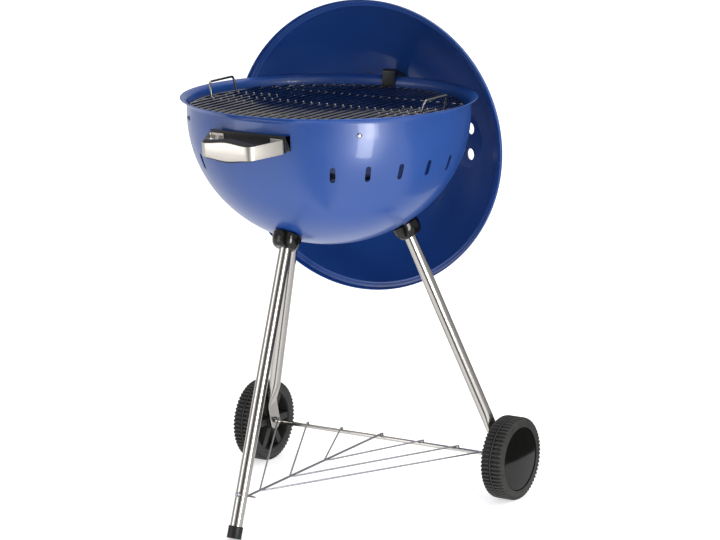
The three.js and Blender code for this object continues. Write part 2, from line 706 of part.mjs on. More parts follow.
// back plate: flat towards the band, its back cut to the vessel
function handlePlate(vessel) {
  const outline = new THREE.Shape();
  outline.moveTo(-HANDLE_FOOT, 30);
  outline.lineTo(-HANDLE_FOOT, 1.5);
  outline.lineTo(1.5 - HANDLE_FOOT, 0);
  outline.lineTo(HANDLE_FOOT - 1.5, 0);
  outline.lineTo(HANDLE_FOOT, 1.5);
  outline.lineTo(HANDLE_FOOT, 30);
  const depth = PLATE_HIGH - PLATE_LOW;
  const geometry = new THREE.ExtrudeGeometry(outline, { depth, bevelEnabled: false });
  let body = solid(geometry.translate(0, 0, PLATE_LOW)).subtract(vessel);
  for (const x of SCREW_XS) {
    body = body.subtract(rod(vec(x, -20, SCREW_DZ), vec(x, 40, SCREW_DZ), SCREW_HOLE));
  }
  return body;
}

function handleScrew(x, length) {
  return aimed(screw(length, SCREW_RADIUS, 4.8, 3), vec(x, -GAP * 2 - BAND, SCREW_DZ), vec(0, -1, 0));
}

function hexNut(x, y) {
  const outline = new THREE.Shape();
  for (let i = 0; i < 6; i += 1) {
    const angle = (i * Math.PI) / 3;
    outline[i ? "lineTo" : "moveTo"](4.6 * Math.cos(angle), 4.6 * Math.sin(angle));
  }
  outline.closePath();
  const hole = new THREE.Path();
  hole.absarc(0, 0, SCREW_RADIUS + GAP, 0, 2 * Math.PI, true);
  outline.holes.push(hole);
  const geometry = new THREE.ExtrudeGeometry(outline, { depth: 4, bevelEnabled: false, curveSegments: 5 });
  return aimed(geometry, vec(x, y, SCREW_DZ), vec(0, 1, 0));
}

// all pieces of one handle; nutY gives where the nut sits behind the sheet at sideways x
function addHandle(parent, prefix, vessel, nutY) {
  piece(parent, `${prefix}_back_plate`, shape(handlePlate(vessel)), paint.black);
  piece(parent, `${prefix}_grip`, shape(handleGrip()), paint.black);
  piece(parent, `${prefix}_band`, shape(handleBand()), paint.satin);
  SCREW_XS.forEach((x, i) => {
    piece(parent, `${prefix}_screw_${i + 1}`, handleScrew(x, nutY(x) + 9), paint.zinc);
    piece(parent, `${prefix}_nut_${i + 1}`, hexNut(x, nutY(x)), paint.zinc);
  });
}

// ---------- lid ----------
// Lid frame: Y along the lid axis with 0 at the rim plane, +Y towards the dome.
const domeDepth = (radius, grow = 0) =>
  LID_LEDGE + LID_RISE - DOME_RADIUS + Math.sqrt((DOME_RADIUS + grow) ** 2 - radius ** 2);

function domeCurve(grow, steps) {
  const points = [];
  for (let i = 0; i <= steps; i += 1) {
    const radius = (LID_BASE + grow) * Math.cos(((i / steps) * Math.PI) / 2);
    points.push(i === steps ? [0, domeDepth(0, grow)] : [radius, domeDepth(radius, grow)]);
  }
  return points;
}

const VENT_DEPTH = domeDepth(VENT_X);
const ventAxis = vec(VENT_X, VENT_DEPTH - domeDepth(0) + DOME_RADIUS, 0).normalize();
const ventFlatShift = -(VENT_FLAT ** 2) / (2 * DOME_RADIUS); // the flat lies a little inside the dome
const ventPoint = vec(VENT_X, VENT_DEPTH, 0).addScaledVector(ventAxis, ventFlatShift);

// three holes round the pivot, drawn about +Z; starts at `start` degrees
function ventHoles(height, radius) {
  return [60, 180, 300].map((degrees) => {
    const x = VENT_REACH * Math.cos(rad(degrees));
    const y = VENT_REACH * Math.sin(rad(degrees));
    const hole = new THREE.CylinderGeometry(radius, radius, height, 14).rotateX(Math.PI / 2);
    return solid(hole.translate(x, y, 0));
  });
}

// moves a solid drawn about +Z onto the vent; `lift` outwards from the inner face of the flat
function onVent(body, lift) {
  const at = ventPoint.clone().addScaledVector(ventAxis, lift);
  const level = vec(ventAxis.y, -ventAxis.x, 0);
  const matrix = new THREE.Matrix4().makeBasis(level, vec(0, 0, -1), ventAxis).setPosition(at);
  return shape(body).applyMatrix4(matrix);
}

function lidShell() {
  const inner = [[LID_LIP - 1.5, 0], [298, 3], [298, 11], [295, 14.5], ...domeCurve(0, 8)];
  const outer = [[LID_LIP, 0], [299.5, 3.4], [299.5, 12], [296.2, 16], ...domeCurve(SHEET, 8)];
  let body = solid(lathe([...inner.reverse(), ...outer], VESSEL_SIDES));
  const disc = (radius, height, lift) => {
    const plain = solid(new THREE.CylinderGeometry(radius, radius, height, 24).rotateX(Math.PI / 2));
    return solid(onVent(plain, lift));
  };
  body = body.subtract(disc(VENT_FLAT - 0.6, 60, 0)).add(disc(VENT_FLAT + 0.3, SHEET, SHEET / 2));
  body = cutBy(body, ventHoles(40, VENT_HOLE).map((hole) => solid(onVent(hole, 0))));
  body = body.subtract(disc(PIVOT_RADIUS + GAP, 30, 0));
  for (const x of SCREW_XS) {
    body = body.subtract(rod(vec(x, 150, SCREW_DZ), vec(x, 220, SCREW_DZ), SCREW_HOLE));
  }
  for (const z of RIVET_Z) {
    const { at, out } = hookRivetSeat(z);
    const outside = at.clone().addScaledVector(out, 10);
    body = body.subtract(rod(at.addScaledVector(out, -10), outside, SCREW_HOLE));
  }
  return shape(body);
}

// damper disc that turns on the outside of the vent flat, with a bent finger tab
function lidDamper() {
  const plate = new THREE.CylinderGeometry(DAMPER_RADIUS, DAMPER_RADIUS, DAMPER_THICK, 28);
  const disc = solid(plate.rotateX(Math.PI / 2));
  const tab = solid(new THREE.BoxGeometry(16, 1.6, 22).translate(0, DAMPER_RADIUS - 2, 10.4));
  const pivotHole = rod(vec(0, 0, -10), vec(0, 0, 10), PIVOT_RADIUS + GAP, 10);
  const cut = [...ventHoles(20, VENT_HOLE), pivotHole];
  return onVent(cutBy(disc.add(tab), cut), SHEET + GAP + DAMPER_THICK / 2);
}

function damperPivot() {
  const above = SHEET + DAMPER_THICK + 2 * GAP;
  const head = [[0, -3.4], [4.5, -3.4], [7, -GAP], [PIVOT_RADIUS, -GAP]];
  const tail = [[PIVOT_RADIUS, above], [7.5, above], [5.5, above + 3], [0, above + 3]];
  const profile = [...head, ...tail];
  return onVent(solid(revolved(profile, 12)), 0);
}

// hook: foot on the inside of the dome, arm over the bowl rim, tongue inside the bowl
const HOOK_THICK = 2.2;
const RIVET_Z = [119, 101]; // above the lid axis
function hookRivetSeat(z) {
  const at = vec(0, domeDepth(z), z);
  return { at, out: vec(0, at.y - domeDepth(0) + DOME_RADIUS, z).normalize() };
}

const HOOK_FOOT_TOP = 141;
function lidHook() {
  const onDome = (z) => [domeDepth(z) - 2 - HOOK_THICK / 2, z];
  const rim = BOWL_TOP - LID_Z;
  const tongue = 280.7 - LID_OUT;
  const arm = HOOK_FOOT_TOP - 5;
  const corners = [
    [tongue, rim - 23], [tongue, rim + 14], [tongue + 12, rim + 14], [tongue + 24, arm],
    onDome(HOOK_FOOT_TOP), onDome(92),
  ];
  corners[4][1] = arm;
  const strip = stripShape(rounded(corners, [4, 4, 4, 4]), HOOK_THICK);
  const geometry = new THREE.ExtrudeGeometry(strip, { depth: 28, bevelEnabled: false });
  // the outline is drawn in (depth, height); turn it so that the strip width lies along X
  geometry.applyMatrix4(new THREE.Matrix4().makeBasis(vec(0, 1, 0), vec(0, 0, 1), vec(1, 0, 0)));
  let body = solid(geometry.translate(-14, 0, 0));
  for (const z of RIVET_Z) {
    const { at, out } = hookRivetSeat(z);
    const outside = at.clone().addScaledVector(out, 8);
    body = body.subtract(rod(at.addScaledVector(out, -12), outside, SCREW_HOLE));
  }
  return shape(body);
}

function hookRivet(z) {
  const { at, out } = hookRivetSeat(z);
  const head = SHEET + GAP;
  const tail = -HOOK_THICK - 4.6;
  const inside = [[0, tail - 2], [4, tail - 2], [4, tail], [SCREW_RADIUS, tail]];
  const outside = [[SCREW_RADIUS, head], [5, head], [4, head + 2], [0, head + 2.4]];
  return aimed(revolved([...inside, ...outside], 10), at, out);
}

// space behind the outer skin of the dome, in the handle frame of the lid handle
function domeSpace() {
  const radius = DOME_RADIUS + SHEET + GAP + 0.2;
  const curve = [0, 26, 52, 78, 104, 130].map((r) => [r, radius - Math.sqrt(radius ** 2 - r ** 2)]);
  const profile = [...curve, [130, 90], [0, 90]];
  return solid(lathe(profile, VESSEL_SIDES).translate(0, LID_HANDLE_FACE - GAP - 0.2, 0));
}

// ---------- assembly ----------
const barbecue = new THREE.Group();
barbecue.name = "kettle_barbecue";

piece(barbecue, "bowl", bowl(), paint.enamel);
SUPPORT_ANGLES.forEach((degrees, i) => {
  piece(barbecue, `grate_support_${i + 1}`, grateSupport(degrees), paint.zinc);
  piece(barbecue, `support_screw_${i + 1}`, supportScrew(degrees), paint.zinc);
});

piece(barbecue, "leg_front", frontLeg(), paint.steel);
piece(barbecue, "leg_rear_right", rearLeg(1), paint.steel);
piece(barbecue, "leg_rear_left", rearLeg(-1), paint.steel);
for (const name of Object.keys(seats)) {
  piece(barbecue, `leg_socket_${name}`, legSocket(name), paint.gloss);
  piece(barbecue, `leg_bolt_${name}`, legBolt(name), paint.zinc);
}
piece(barbecue, "foot_cap", footCap(), paint.black);

piece(barbecue, "axle", axle(), paint.zinc);
for (const [side, name] of [[1, "right"], [-1, "left"]]) {
  piece(barbecue, `wheel_${name}`, wheel(side), paint.tyre);
  piece(barbecue, `hub_cap_${name}`, hubCap(side), paint.gloss);
  piece(barbecue, `push_nut_${name}`, pushNut(side), paint.zinc);
}
piece(barbecue, "wire_rack", wireRack(), paint.zinc);
piece(barbecue, "rack_nut", rackNut(), paint.zinc);

piece(barbecue, "cooking_grate", cookingGrate(), paint.chrome);
piece(barbecue, "charcoal_grate", charcoalGrate(), paint.chrome);

const bowlHandle = new THREE.Group();
bowlHandle.name = "bowl_handle";
bowlHandle.position.set(0, -HANDLE_FACE, HANDLE_Z);
bowlHandle.rotation.x = rad(HANDLE_TILT);
barbecue.add(bowlHandle);
const wallY = (x) => HANDLE_FACE - Math.sqrt((BOWL_RADIUS - 5) ** 2 - (Math.abs(x) + 4.6) ** 2) + GAP;
addHandle(bowlHandle, "bowl_handle", bowlSpace(), wallY);

const lid = new THREE.Group();
lid.name = "lid";
lid.rotation.z = rad(LID_TURN);
const lidFrame = new THREE.Group();
lidFrame.position.set(0, LID_OUT, LID_Z);
lid.add(lidFrame);
barbecue.add(lid);
piece(lidFrame, "lid_shell", lidShell(), paint.enamel);
piece(lidFrame, "lid_hook", lidHook(), paint.black);
RIVET_Z.forEach((z, i) => piece(lidFrame, `hook_rivet_${i + 1}`, hookRivet(z), paint.zinc));
piece(lidFrame, "lid_damper", lidDamper(), paint.satin);
piece(lidFrame, "damper_pivot", damperPivot(), paint.zinc);

const lidHandle = new THREE.Group();
lidHandle.name = "lid_handle";
lidHandle.rotation.z = Math.PI;
lidHandle.position.set(0, domeDepth(0) + SHEET + LID_HANDLE_FACE, 0);
lidFrame.add(lidHandle);
const domeY = (x) => LID_HANDLE_FACE + SHEET + (Math.abs(x) + 4.6) ** 2 / (2 * DOME_RADIUS) + 1.6 + GAP;
addHandle(lidHandle, "lid_handle", domeSpace(), domeY);

const outerBox = new THREE.Box3().setFromObject(barbecue, true);
const middle = outerBox.getCenter(vec(0, 0, 0));
barbecue.position.set(-middle.x, -middle.y, -outerBox.min.z);

export default barbecue;
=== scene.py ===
"""Looks of a floor-standing kettle charcoal barbecue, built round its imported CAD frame.

Shapes are drawn in millimetres round the bowl axis, with z = 0 on the ground, and moved into the
frame in metres when they are shown. The front leg and the bowl handle are towards -Y.
"""

import json
import math

import bmesh
import bpy
from mathutils import Matrix, Vector
from mathutils.bvhtree import BVHTree
from mathutils.interpolate import poly_3d_calc


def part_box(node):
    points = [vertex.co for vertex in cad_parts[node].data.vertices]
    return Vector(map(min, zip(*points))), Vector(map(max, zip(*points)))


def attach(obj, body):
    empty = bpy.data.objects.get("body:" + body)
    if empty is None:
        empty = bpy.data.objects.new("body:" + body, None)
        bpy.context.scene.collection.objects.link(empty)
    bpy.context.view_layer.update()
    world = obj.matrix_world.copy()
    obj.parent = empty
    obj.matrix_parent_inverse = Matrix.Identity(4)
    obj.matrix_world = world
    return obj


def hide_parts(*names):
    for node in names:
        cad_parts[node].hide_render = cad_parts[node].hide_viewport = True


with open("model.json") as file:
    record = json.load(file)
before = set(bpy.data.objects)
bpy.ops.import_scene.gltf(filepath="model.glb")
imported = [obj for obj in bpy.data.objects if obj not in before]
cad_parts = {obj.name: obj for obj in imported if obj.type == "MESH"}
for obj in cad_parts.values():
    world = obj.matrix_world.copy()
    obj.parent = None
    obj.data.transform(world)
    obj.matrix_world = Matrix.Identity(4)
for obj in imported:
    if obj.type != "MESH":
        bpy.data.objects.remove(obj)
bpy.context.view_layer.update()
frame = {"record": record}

# ---------- places and sizes read from the frame ----------
MM = 0.001
bowl_low, bowl_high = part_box("bowl")
HOME = Vector(((bowl_low.x + bowl_high.x) / 2, (bowl_low.y + bowl_high.y) / 2, 0))


def box(node):
    """Lowest and highest corner of a CAD node in millimetres from the foot of the bowl axis."""
    low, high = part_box(node)
    return (low - HOME) / MM, (high - HOME) / MM


RIM = box("bowl")[1].x  # outer edge of the flared rim
TOP = box("bowl")[1].z
BOTTOM = box("bowl")[0].z
AXLE_LOW, AXLE_HIGH = box("axle")
AXLE_HALF = AXLE_HIGH.x
AXLE_RADIUS = (AXLE_HIGH.z - AXLE_LOW.z) / 2
AXLE_Y = (AXLE_HIGH.y + AXLE_LOW.y) / 2
AXLE_Z = (AXLE_HIGH.z + AXLE_LOW.z) / 2
WHEEL_IN = box("wheel_right")[0].x
WHEEL_WIDTH = box("wheel_right")[1].x - WHEEL_IN
WHEEL_RADIUS = (box("wheel_right")[1].z - box("wheel_right")[0].z) / 2
CAP_RADIUS = (box("hub_cap_right")[1].z - box("hub_cap_right")[0].z) / 2
PLATE_LOW, PLATE_HIGH = box("bowl_handle_back_plate")
LID_LOW, LID_HIGH = box("lid_shell")
LID_LIP = (LID_HIGH.z - LID_LOW.z) / 2
LID_TURN = math.acos((LID_HIGH.x - LID_LOW.x) / 2 / LID_LIP)
LID_CENTRE = Vector((
    (LID_HIGH.x + LID_LOW.x) / 2,
    LID_LOW.y + LID_LIP * math.sin(LID_TURN),
    (LID_HIGH.z + LID_LOW.z) / 2,
))

# ---------- driving dimensions, as in the CAD part ----------
GAP = 0.35
SHEET = 1.5
FLARE = 13  # radius of the rim flare
WALL = RIM - FLARE
WALL_FOOT = TOP - 30
DEPTH = WALL_FOOT - BOTTOM
SLOT_WIDTH, SLOT_HEIGHT, SLOT_Z = 11, 32, 722
SLOT_FIRST, SLOT_PITCH, SLOTS_PER_GROUP = 34.5, 14.8, 5
SUPPORT_ANGLES = (45, 135, 225, 315)
SUPPORT_SCREW_Z = 801

LEG_RADIUS, LEG_WALL = 12.5, 1.5
LEG_TOP_RADIUS = 150
LEG_START = 4
FOOT_REACH = 350
TAB_HALF, TAB_WIDTH, TAB_BEND = 2.2, 16.5, 42
TAB_X = box("leg_rear_right")[1].x - TAB_HALF
SOCKET_RADIUS, SOCKET_DEPTH, SOCKET_WALL = 29, 31, 3

HUB_RADIUS, HUB_LENGTH = 17, 34
RIBS, RIB_HEIGHT = 60, 4.2

WIRE, SPINE = 1.75, 2.3
RACK_FRONT_Z, RACK_PIN, RACK_SKEW = 84, 20, -10
RACK_Y = (-246, -135, -3)
RACK_X = (259, 185, 100)

GRATE_Z, GRATE_RING, GRATE_PITCH, GRATE_SIDE_BARS, GRATE_BAR = 817.5, 274, 18.6, 13, 2.5
GRATE_TURN, GRATE_SHIFT = 1.5, -5
LIFT_HALF, LIFT_FOOT, LIFT_TOP, LIFT_RISE = 47, 244, 252, 33  # wire handles of the cooking grate
COALS_RING, COALS_PITCH, COALS_SIDE_BARS, COALS_BAR = 212, 28, 7, 2.8
COALS_Z = box("charcoal_grate")[0].z + 3.5

LID_BASE, LID_LEDGE, LID_RISE = 287, 16, 180
DOME_RADIUS = (LID_BASE ** 2 + LID_RISE ** 2) / (2 * LID_RISE)
DOME_CENTRE = LID_LEDGE + LID_RISE - DOME_RADIUS  # depth of the middle of the dome's sphere
VENT_X, VENT_FLAT, VENT_HOLE, VENT_REACH = 162, 58, 12, 31
HOOK_WIDTH, HOOK_THICK, HOOK_TOP = 28, 2.2, 136
RIVETS = (119, 101)  # heights above the lid axis

BAND, BAND_HALF, BAND_BELLY = 2, 14, 18.5
GRIP_HALF, GRIP_BELLY = 16.6, 22
HANDLE_REACH, HANDLE_BEND = 76, 56
HANDLE_FOOT = PLATE_HIGH.x
HANDLE_TILT = math.radians(5.6)  # square to the wall of the bowl
PLATE_DOWN, PLATE_UP = -14, 20
HANDLE_Z = PLATE_LOW.z - PLATE_DOWN * math.cos(HANDLE_TILT)
HANDLE_FACE = -PLATE_LOW.y - PLATE_UP * math.sin(HANDLE_TILT)
SCREW_XS, SCREW_DZ, NUT = (-77, -62.5, 62.5, 77), 5, 4.6
LID_HANDLE_FACE = 8

X, Y, Z = Vector((1, 0, 0)), Vector((0, 1, 0)), Vector((0, 0, 1))


def put(name, data):
    """New object in the scene."""
    thing = bpy.data.objects.new(name, data)
    bpy.context.scene.collection.objects.link(thing)
    return thing


# ---------- mesh helpers ----------
def finished(bm):
    """Turns a bmesh into a mesh with its faces pointing out."""
    bmesh.ops.recalc_face_normals(bm, faces=bm.faces)
    mesh = bpy.data.meshes.new("shape")
    bm.to_mesh(mesh)
    bm.free()
    return mesh


def skin(rings, loop=False):
    """Closed mesh through rings of points. The last ring joins the first, or both ends are capped."""
    bm = bmesh.new()
    uv = bm.loops.layers.uv.new("along")
    rows = [[bm.verts.new(point) for point in ring] for ring in rings]
    count = len(rings[0])
    side = (Vector(rings[0][0]) - Vector(rings[0][1])).length
    along = [0.0]
    for before, after in zip(rings, rings[1:] + rings[:1]):
        along.append(along[-1] + (Vector(after[0]) - Vector(before[0])).length)
    last = len(rows) if loop else len(rows) - 1
    for k in range(last):
        low, high = rows[k], rows[(k + 1) % len(rows)]
        for i in range(count):
            j = (i + 1) % count
            face = bm.faces.new((low[i], low[j], high[j], high[i]))
            places = ((i, k), (i + 1, k), (i + 1, k + 1), (i, k + 1))
            for corner, (turn, step) in zip(face.loops, places):
                corner[uv].uv = (turn * side * MM, along[step] * MM)
    if not loop:
        bm.faces.new(reversed(rows[0]))
        bm.faces.new(rows[-1])
    return finished(bm)


def lathe(outline, sides=96, swell=None):
    """Body of revolution about +Z through a closed outline of (radius, height) points.

    swell(angle, point number) adds to the radius."""
    bm = bmesh.new()
    rows = []
    for number, (radius, height) in enumerate(outline):
        if radius < 1e-6:
            rows.append([bm.verts.new((0, 0, height))])
            continue
        row = []
        for i in range(sides):
            angle = 2 * math.pi * i / sides
            reach = radius + (swell(angle, number) if swell else 0)
            row.append(bm.verts.new((reach * math.cos(angle), reach * math.sin(angle), height)))
        rows.append(row)
    for low, high in zip(rows, rows[1:] + rows[:1]):
        if len(low) == len(high) == 1:
            continue
        for i in range(sides):
            j = i + 1
            corners = (low[i % len(low)], low[j % len(low)], high[j % len(high)], high[i % len(high)])
            bm.faces.new(list(dict.fromkeys(corners)))
    return finished(bm)


def turned(points, radius, steps=5, closed=False):
    """A polyline with every inner corner turned on an arc; radius is one number or one per point."""
    points = [Vector(point).to_3d() for point in points]
    radii = radius if isinstance(radius, (list, tuple)) else [radius] * len(points)
    out = []
    for i, here in enumerate(points):
        if radii[i] == 0 or (not closed and i in (0, len(points) - 1)):
            out.append(here)
            continue
        back = (points[i - 1] - here).normalized()
        ahead = (points[(i + 1) % len(points)] - here).normalized()
        half = back.angle(ahead) / 2
        middle = here + (back + ahead).normalized() * radii[i] / math.sin(half)
        reach = radii[i] / math.tan(half)
        start, end = here + back * reach - middle, here + ahead * reach - middle
        start.normalize()
        end.normalize()
        out.extend(middle + start.slerp(end, k / steps) * radii[i] for k in range(steps + 1))
    return out


def outline(corners, steps=5):
    """Closed 2-D outline from (x, y, fillet radius) corners."""
    path = turned([(x, y, 0) for x, y, _ in corners], [r for *_, r in corners], steps, closed=True)
    return [(point.x, point.y) for point in path]


def headings(path):
    """Every point of a path with the direction of the path there."""
    last = len(path) - 1
    for i, here in enumerate(path):
        yield here, (path[min(i + 1, last)] - path[max(i - 1, 0)]).normalized()


def sheet(centreline, thickness):
    """Closed outline of a sheet round its centreline of (x, y) points."""
    line = [Vector(point).to_2d() for point in centreline]
    sides = ([], [])
    for here, along in headings(line):
        across = Vector((-along.y, along.x)) * thickness / 2
        sides[0].append((max(here.x + across.x, 0), here.y + across.y))
        sides[1].append((max(here.x - across.x, 0), here.y - across.y))
    start = (line[0] - line[1]).normalized() * thickness * 0.35
    nose = [(x + start.x, y + start.y) for x, y in (
        (line[0].x * 0.6 + sides[1][0][0] * 0.4, line[0].y * 0.6 + sides[1][0][1] * 0.4),
        (line[0].x * 0.6 + sides[0][0][0] * 0.4, line[0].y * 0.6 + sides[0][0][1] * 0.4),
    )]
    return sides[0] + sides[1][::-1] + nose


def ring_on(at, along, section, up=Z):
    """Places a 2-D section across the direction `along`; its second axis points towards up."""
    side = along.cross(up).normalized()
    top = side.cross(along).normalized()
    return [at + side * u + top * v for u, v in section]


def circle(radius, sides=12):
    """Points of a circle."""
    turns = [2 * math.pi * i / sides for i in range(sides)]
    return [(radius * math.cos(turn), radius * math.sin(turn)) for turn in turns]


def soft_box(half_width, half_height, radius, steps=3):
    """Rectangle section with round corners."""
    corners = [(-half_width, -half_height, radius), (half_width, -half_height, radius),
               (half_width, half_height, radius), (-half_width, half_height, radius)]
    return outline(corners, steps)


def wire(points, radius, bend=0.0, sides=12, loop=False):
    """Round wire along points, bent on arcs, with rounded ends."""
    path = turned(points, bend, 6, closed=loop) if bend else [Vector(point) for point in points]
    count = len(path)
    rings, up = [], None
    for i, here in enumerate(path):
        before = path[i - 1] if i or loop else here
        after = path[(i + 1) % count] if i < count - 1 or loop else here
        along = (after - before).normalized()
        if up is None:
            up = Z if abs(along.z) < 0.9 else Y
        side = along.cross(up).normalized()
        up = side.cross(along).normalized()
        rings.append([here + side * u + up * v for u, v in circle(radius, sides)])
    if loop:
        return skin(rings, loop=True)

    def end(ring, at, out):
        cap = []
        for share in (0.94, 0.72, 0.38):
            lift = out * radius * 0.7 * (1 - share ** 2) ** 0.5
            cap.append([at + (point - at) * share + lift for point in ring])
        return cap

    first = end(rings[0], path[0], (path[0] - path[1]).normalized())
    final = end(rings[-1], path[-1], (path[-1] - path[-2]).normalized())
    return skin(first[::-1] + rings + final)


def plug(radius, low, high, sides=48):
    """Round bar about +Z."""
    return lathe([(0, low), (radius, low), (radius, high), (0, high)], sides)


def prism(points, low, high, bevel=0.0):
    """Closed 2-D outline drawn out along Z from low to high, with bevelled edges."""
    bm = bmesh.new()
    base = bm.faces.new([bm.verts.new((x, y, low)) for x, y in points])
    grown = bmesh.ops.extrude_face_region(bm, geom=[base])
    risen = [item for item in grown["geom"] if isinstance(item, bmesh.types.BMVert)]
    bmesh.ops.translate(bm, verts=risen, vec=(0, 0, high - low))
    if bevel:
        bmesh.ops.recalc_face_normals(bm, faces=bm.faces)
        sharp = [edge for edge in bm.edges if edge.calc_face_angle(0) > math.radians(40)]
        bmesh.ops.bevel(bm, geom=sharp, offset=bevel, segments=2, affect="EDGES", profile=0.5)
    return finished(bm)


def aimed(mesh, at, axis):
    """Moves a mesh drawn about +Z so that +Z becomes axis and its origin becomes at."""
    turn = axis.normalized().to_track_quat("Z", "Y").to_matrix().to_4x4()
    mesh.transform(Matrix.Translation(at) @ turn)
    return mesh


def joined(meshes):
    """One mesh out of several."""
    bm = bmesh.new()
    for mesh in meshes:
        bm.from_mesh(mesh)
    return finished(bm)


def boolean(body, tool, operation="DIFFERENCE"):
    """body cut by, or joined with, the closed mesh tool."""
    holder, cutter = put("holder", body), put("cutter", tool)
    modifier = holder.modifiers.new("cut", "BOOLEAN")
    modifier.operation = operation
    modifier.object = cutter
    modifier.solver = "EXACT"
    graph = bpy.context.evaluated_depsgraph_get()
    result = bpy.data.meshes.new_from_object(holder.evaluated_get(graph))
    for thing in (holder, cutter):
        bpy.data.objects.remove(thing)
    return result


def smooth(mesh, degrees=32):
    """Smooth shading, sharp where the surface turns more than the angle."""
    mesh.shade_smooth()
    mesh.set_sharp_from_angle(angle=math.radians(degrees))
    return mesh


def follow(mesh, guide):
    """Gives a cut mesh the shading of the smooth surface it was cut from, away from the cuts."""
    tree = BVHTree.FromPolygons([v.co for v in guide.vertices], [p.vertices for p in guide.polygons])
    leading = []
    for vertex in mesh.vertices:
        where, _, number, _ = tree.find_nearest(vertex.co)
        corners = guide.polygons[number].vertices
        shares = poly_3d_calc([guide.vertices[k].co for k in corners], where)
        normal = Vector((0, 0, 0))
        for share, corner in zip(shares, corners):
            normal += guide.vertices[corner].normal * share
        leading.append(normal.normalized())
    mesh.shade_smooth()
    normals = [None] * len(mesh.loops)
    for polygon in mesh.polygons:
        for number in polygon.loop_indices:
            normal = leading[mesh.loops[number].vertex_index]
            normals[number] = normal if normal.dot(polygon.normal) > 0.8 else polygon.normal.copy()
    mesh.normals_split_custom_set(normals)
    return mesh


# ---------- materials ----------
def add(tree, kind, inputs, **settings):
    """New shader node; each input gets a value or the output of another node."""
    node = tree.nodes.new("ShaderNode" + kind)
    for name, value in settings.items():
        setattr(node, name, value)
    for name, value in inputs.items():
        if isinstance(value, bpy.types.NodeSocket):
            tree.links.new(value, node.inputs[name])
        else:
            node.inputs[name].default_value = value
    return node


class Finish:
    """A procedural material: a principled shader with a few grain patterns plugged into it."""

    def __init__(self, name, colour, **inputs):
        self.material = bpy.data.materials.new(name)
        self.material.use_nodes = True
        self.tree = self.material.node_tree
        self.inputs = self.tree.nodes["Principled BSDF"].inputs
        self.inputs["Base Color"].default_value = (*colour, 1)
        self.colour = colour
        for key, value in inputs.items():
            self.inputs[key.replace("_", " ").title().replace("Ior", "IOR")].default_value = value

    def plug(self, output, name):
        """Feeds the output of a node into the shader."""
        self.tree.links.new(output, self.inputs[name])
        return self

    def pattern(self, size, detail=3.0, stretch=(1, 1, 1), source="Object"):
        """Noise with features of the given size in metres, drawn out along an axis by stretch."""
        place = add(self.tree, "TexCoord", {}).outputs[source]
        scale = [1 / (size * share) for share in stretch]
        turned_place = add(self.tree, "Mapping", {"Vector": place, "Scale": scale}).outputs["Vector"]
        noise = add(self.tree, "TexNoise", {"Vector": turned_place, "Scale": 1.0, "Detail": detail})
        return noise.outputs["Fac"]

    def spread(self, pattern, low, high):
        """Maps the middle half of a pattern onto low to high."""
        ends = {"From Min": 0.25, "From Max": 0.75, "To Min": low, "To Max": high}
        return add(self.tree, "MapRange", {"Value": pattern, **ends}).outputs["Result"]

    def blend(self, share, start, end):
        """Base colour between two colours."""
        mix = add(self.tree, "Mix", {"A": start, "B": end, "Factor": share}, data_type="RGBA")
        return self.plug(mix.outputs["Result"], "Base Color")

    def tint(self, pattern, dark, light):
        """Base colour that wanders between two shares of itself."""
        ends = [(*[min(c * share, 1) for c in self.colour], 1) for share in (dark, light)]
        return self.blend(self.spread(pattern, 0, 1), *ends)

    def rough(self, pattern, low, high):
        """Roughness that varies with a pattern."""
        return self.plug(self.spread(pattern, low, high), "Roughness")

    def bump(self, pattern, height, strength):
        """Relief of the given height in metres."""
        relief = add(self.tree, "Bump", {"Distance": height, "Strength": strength, "Height": pattern})
        return self.plug(relief.outputs["Normal"], "Normal")


def enamel():
    """Deep blue vitreous enamel: a glassy coat with a faint orange peel."""
    look = Finish("blue_enamel", (0.017, 0.077, 0.33), roughness=0.34, coat_weight=0.3, coat_roughness=0.07)
    look.tint(look.pattern(0.16, 2), 0.93, 1.07)
    look.rough(look.pattern(0.05, 4), 0.3, 0.38)
    return look.bump(look.pattern(0.006, 2), 0.00004, 0.35).material


def polished_tube():
    """Bright stainless tube with faint polishing lines along its length."""
    look = Finish("polished_steel", (0.50, 0.48, 0.455), metallic=1.0, roughness=0.17)
    look.tint(look.pattern(0.004, 2, (1, 300, 1), "UV"), 0.95, 1.04)
    return look.rough(look.pattern(0.03, 3), 0.14, 0.2).material


def satin_steel():
    """Warm satin steel strip, brushed lengthways."""
    look = Finish("satin_steel", (0.49, 0.465, 0.43), metallic=1.0, roughness=0.36)
    lines = look.pattern(0.0006, 4, (60, 60, 1))
    look.tint(look.pattern(0.003, 3, (30, 30, 1)), 0.95, 1.04)
    look.rough(lines, 0.3, 0.42)
    return look.bump(lines, 0.00002, 0.5).material


def zinc():
    """Bright zinc plating, a little cloudy."""
    look = Finish("bright_zinc", (0.36, 0.36, 0.385), metallic=1.0, roughness=0.32)
    look.tint(look.pattern(0.012, 4), 0.86, 1.08)
    look.rough(look.pattern(0.004, 3), 0.26, 0.4)
    return look.bump(look.pattern(0.0012, 2), 0.00002, 0.4).material


def plated_wire():
    """Plated grate wire: bright, with a brownish haze from heat and handling."""
    look = Finish("plated_wire", (0.34, 0.33, 0.32), metallic=1.0, roughness=0.14)
    look.tint(look.pattern(0.03, 4), 0.75, 1.15)
    look.rough(look.pattern(0.008, 3), 0.1, 0.2)
    return look.bump(look.pattern(0.0015, 2), 0.00003, 0.4).material


def shade_darkened_wire():
    """Charcoal grate: dull, painted dark grey brown for the shade it lies in low in the bowl."""
    # painted shade: the dark base colour stands for the shade under the cooking grate
    look = Finish("shade_darkened_wire", (0.09, 0.085, 0.08), metallic=0.6, roughness=0.6)
    look.tint(look.pattern(0.02, 5), 0.6, 1.4)
    look.rough(look.pattern(0.006, 3), 0.5, 0.75)
    return look.bump(look.pattern(0.0015, 3), 0.00008, 0.6).material


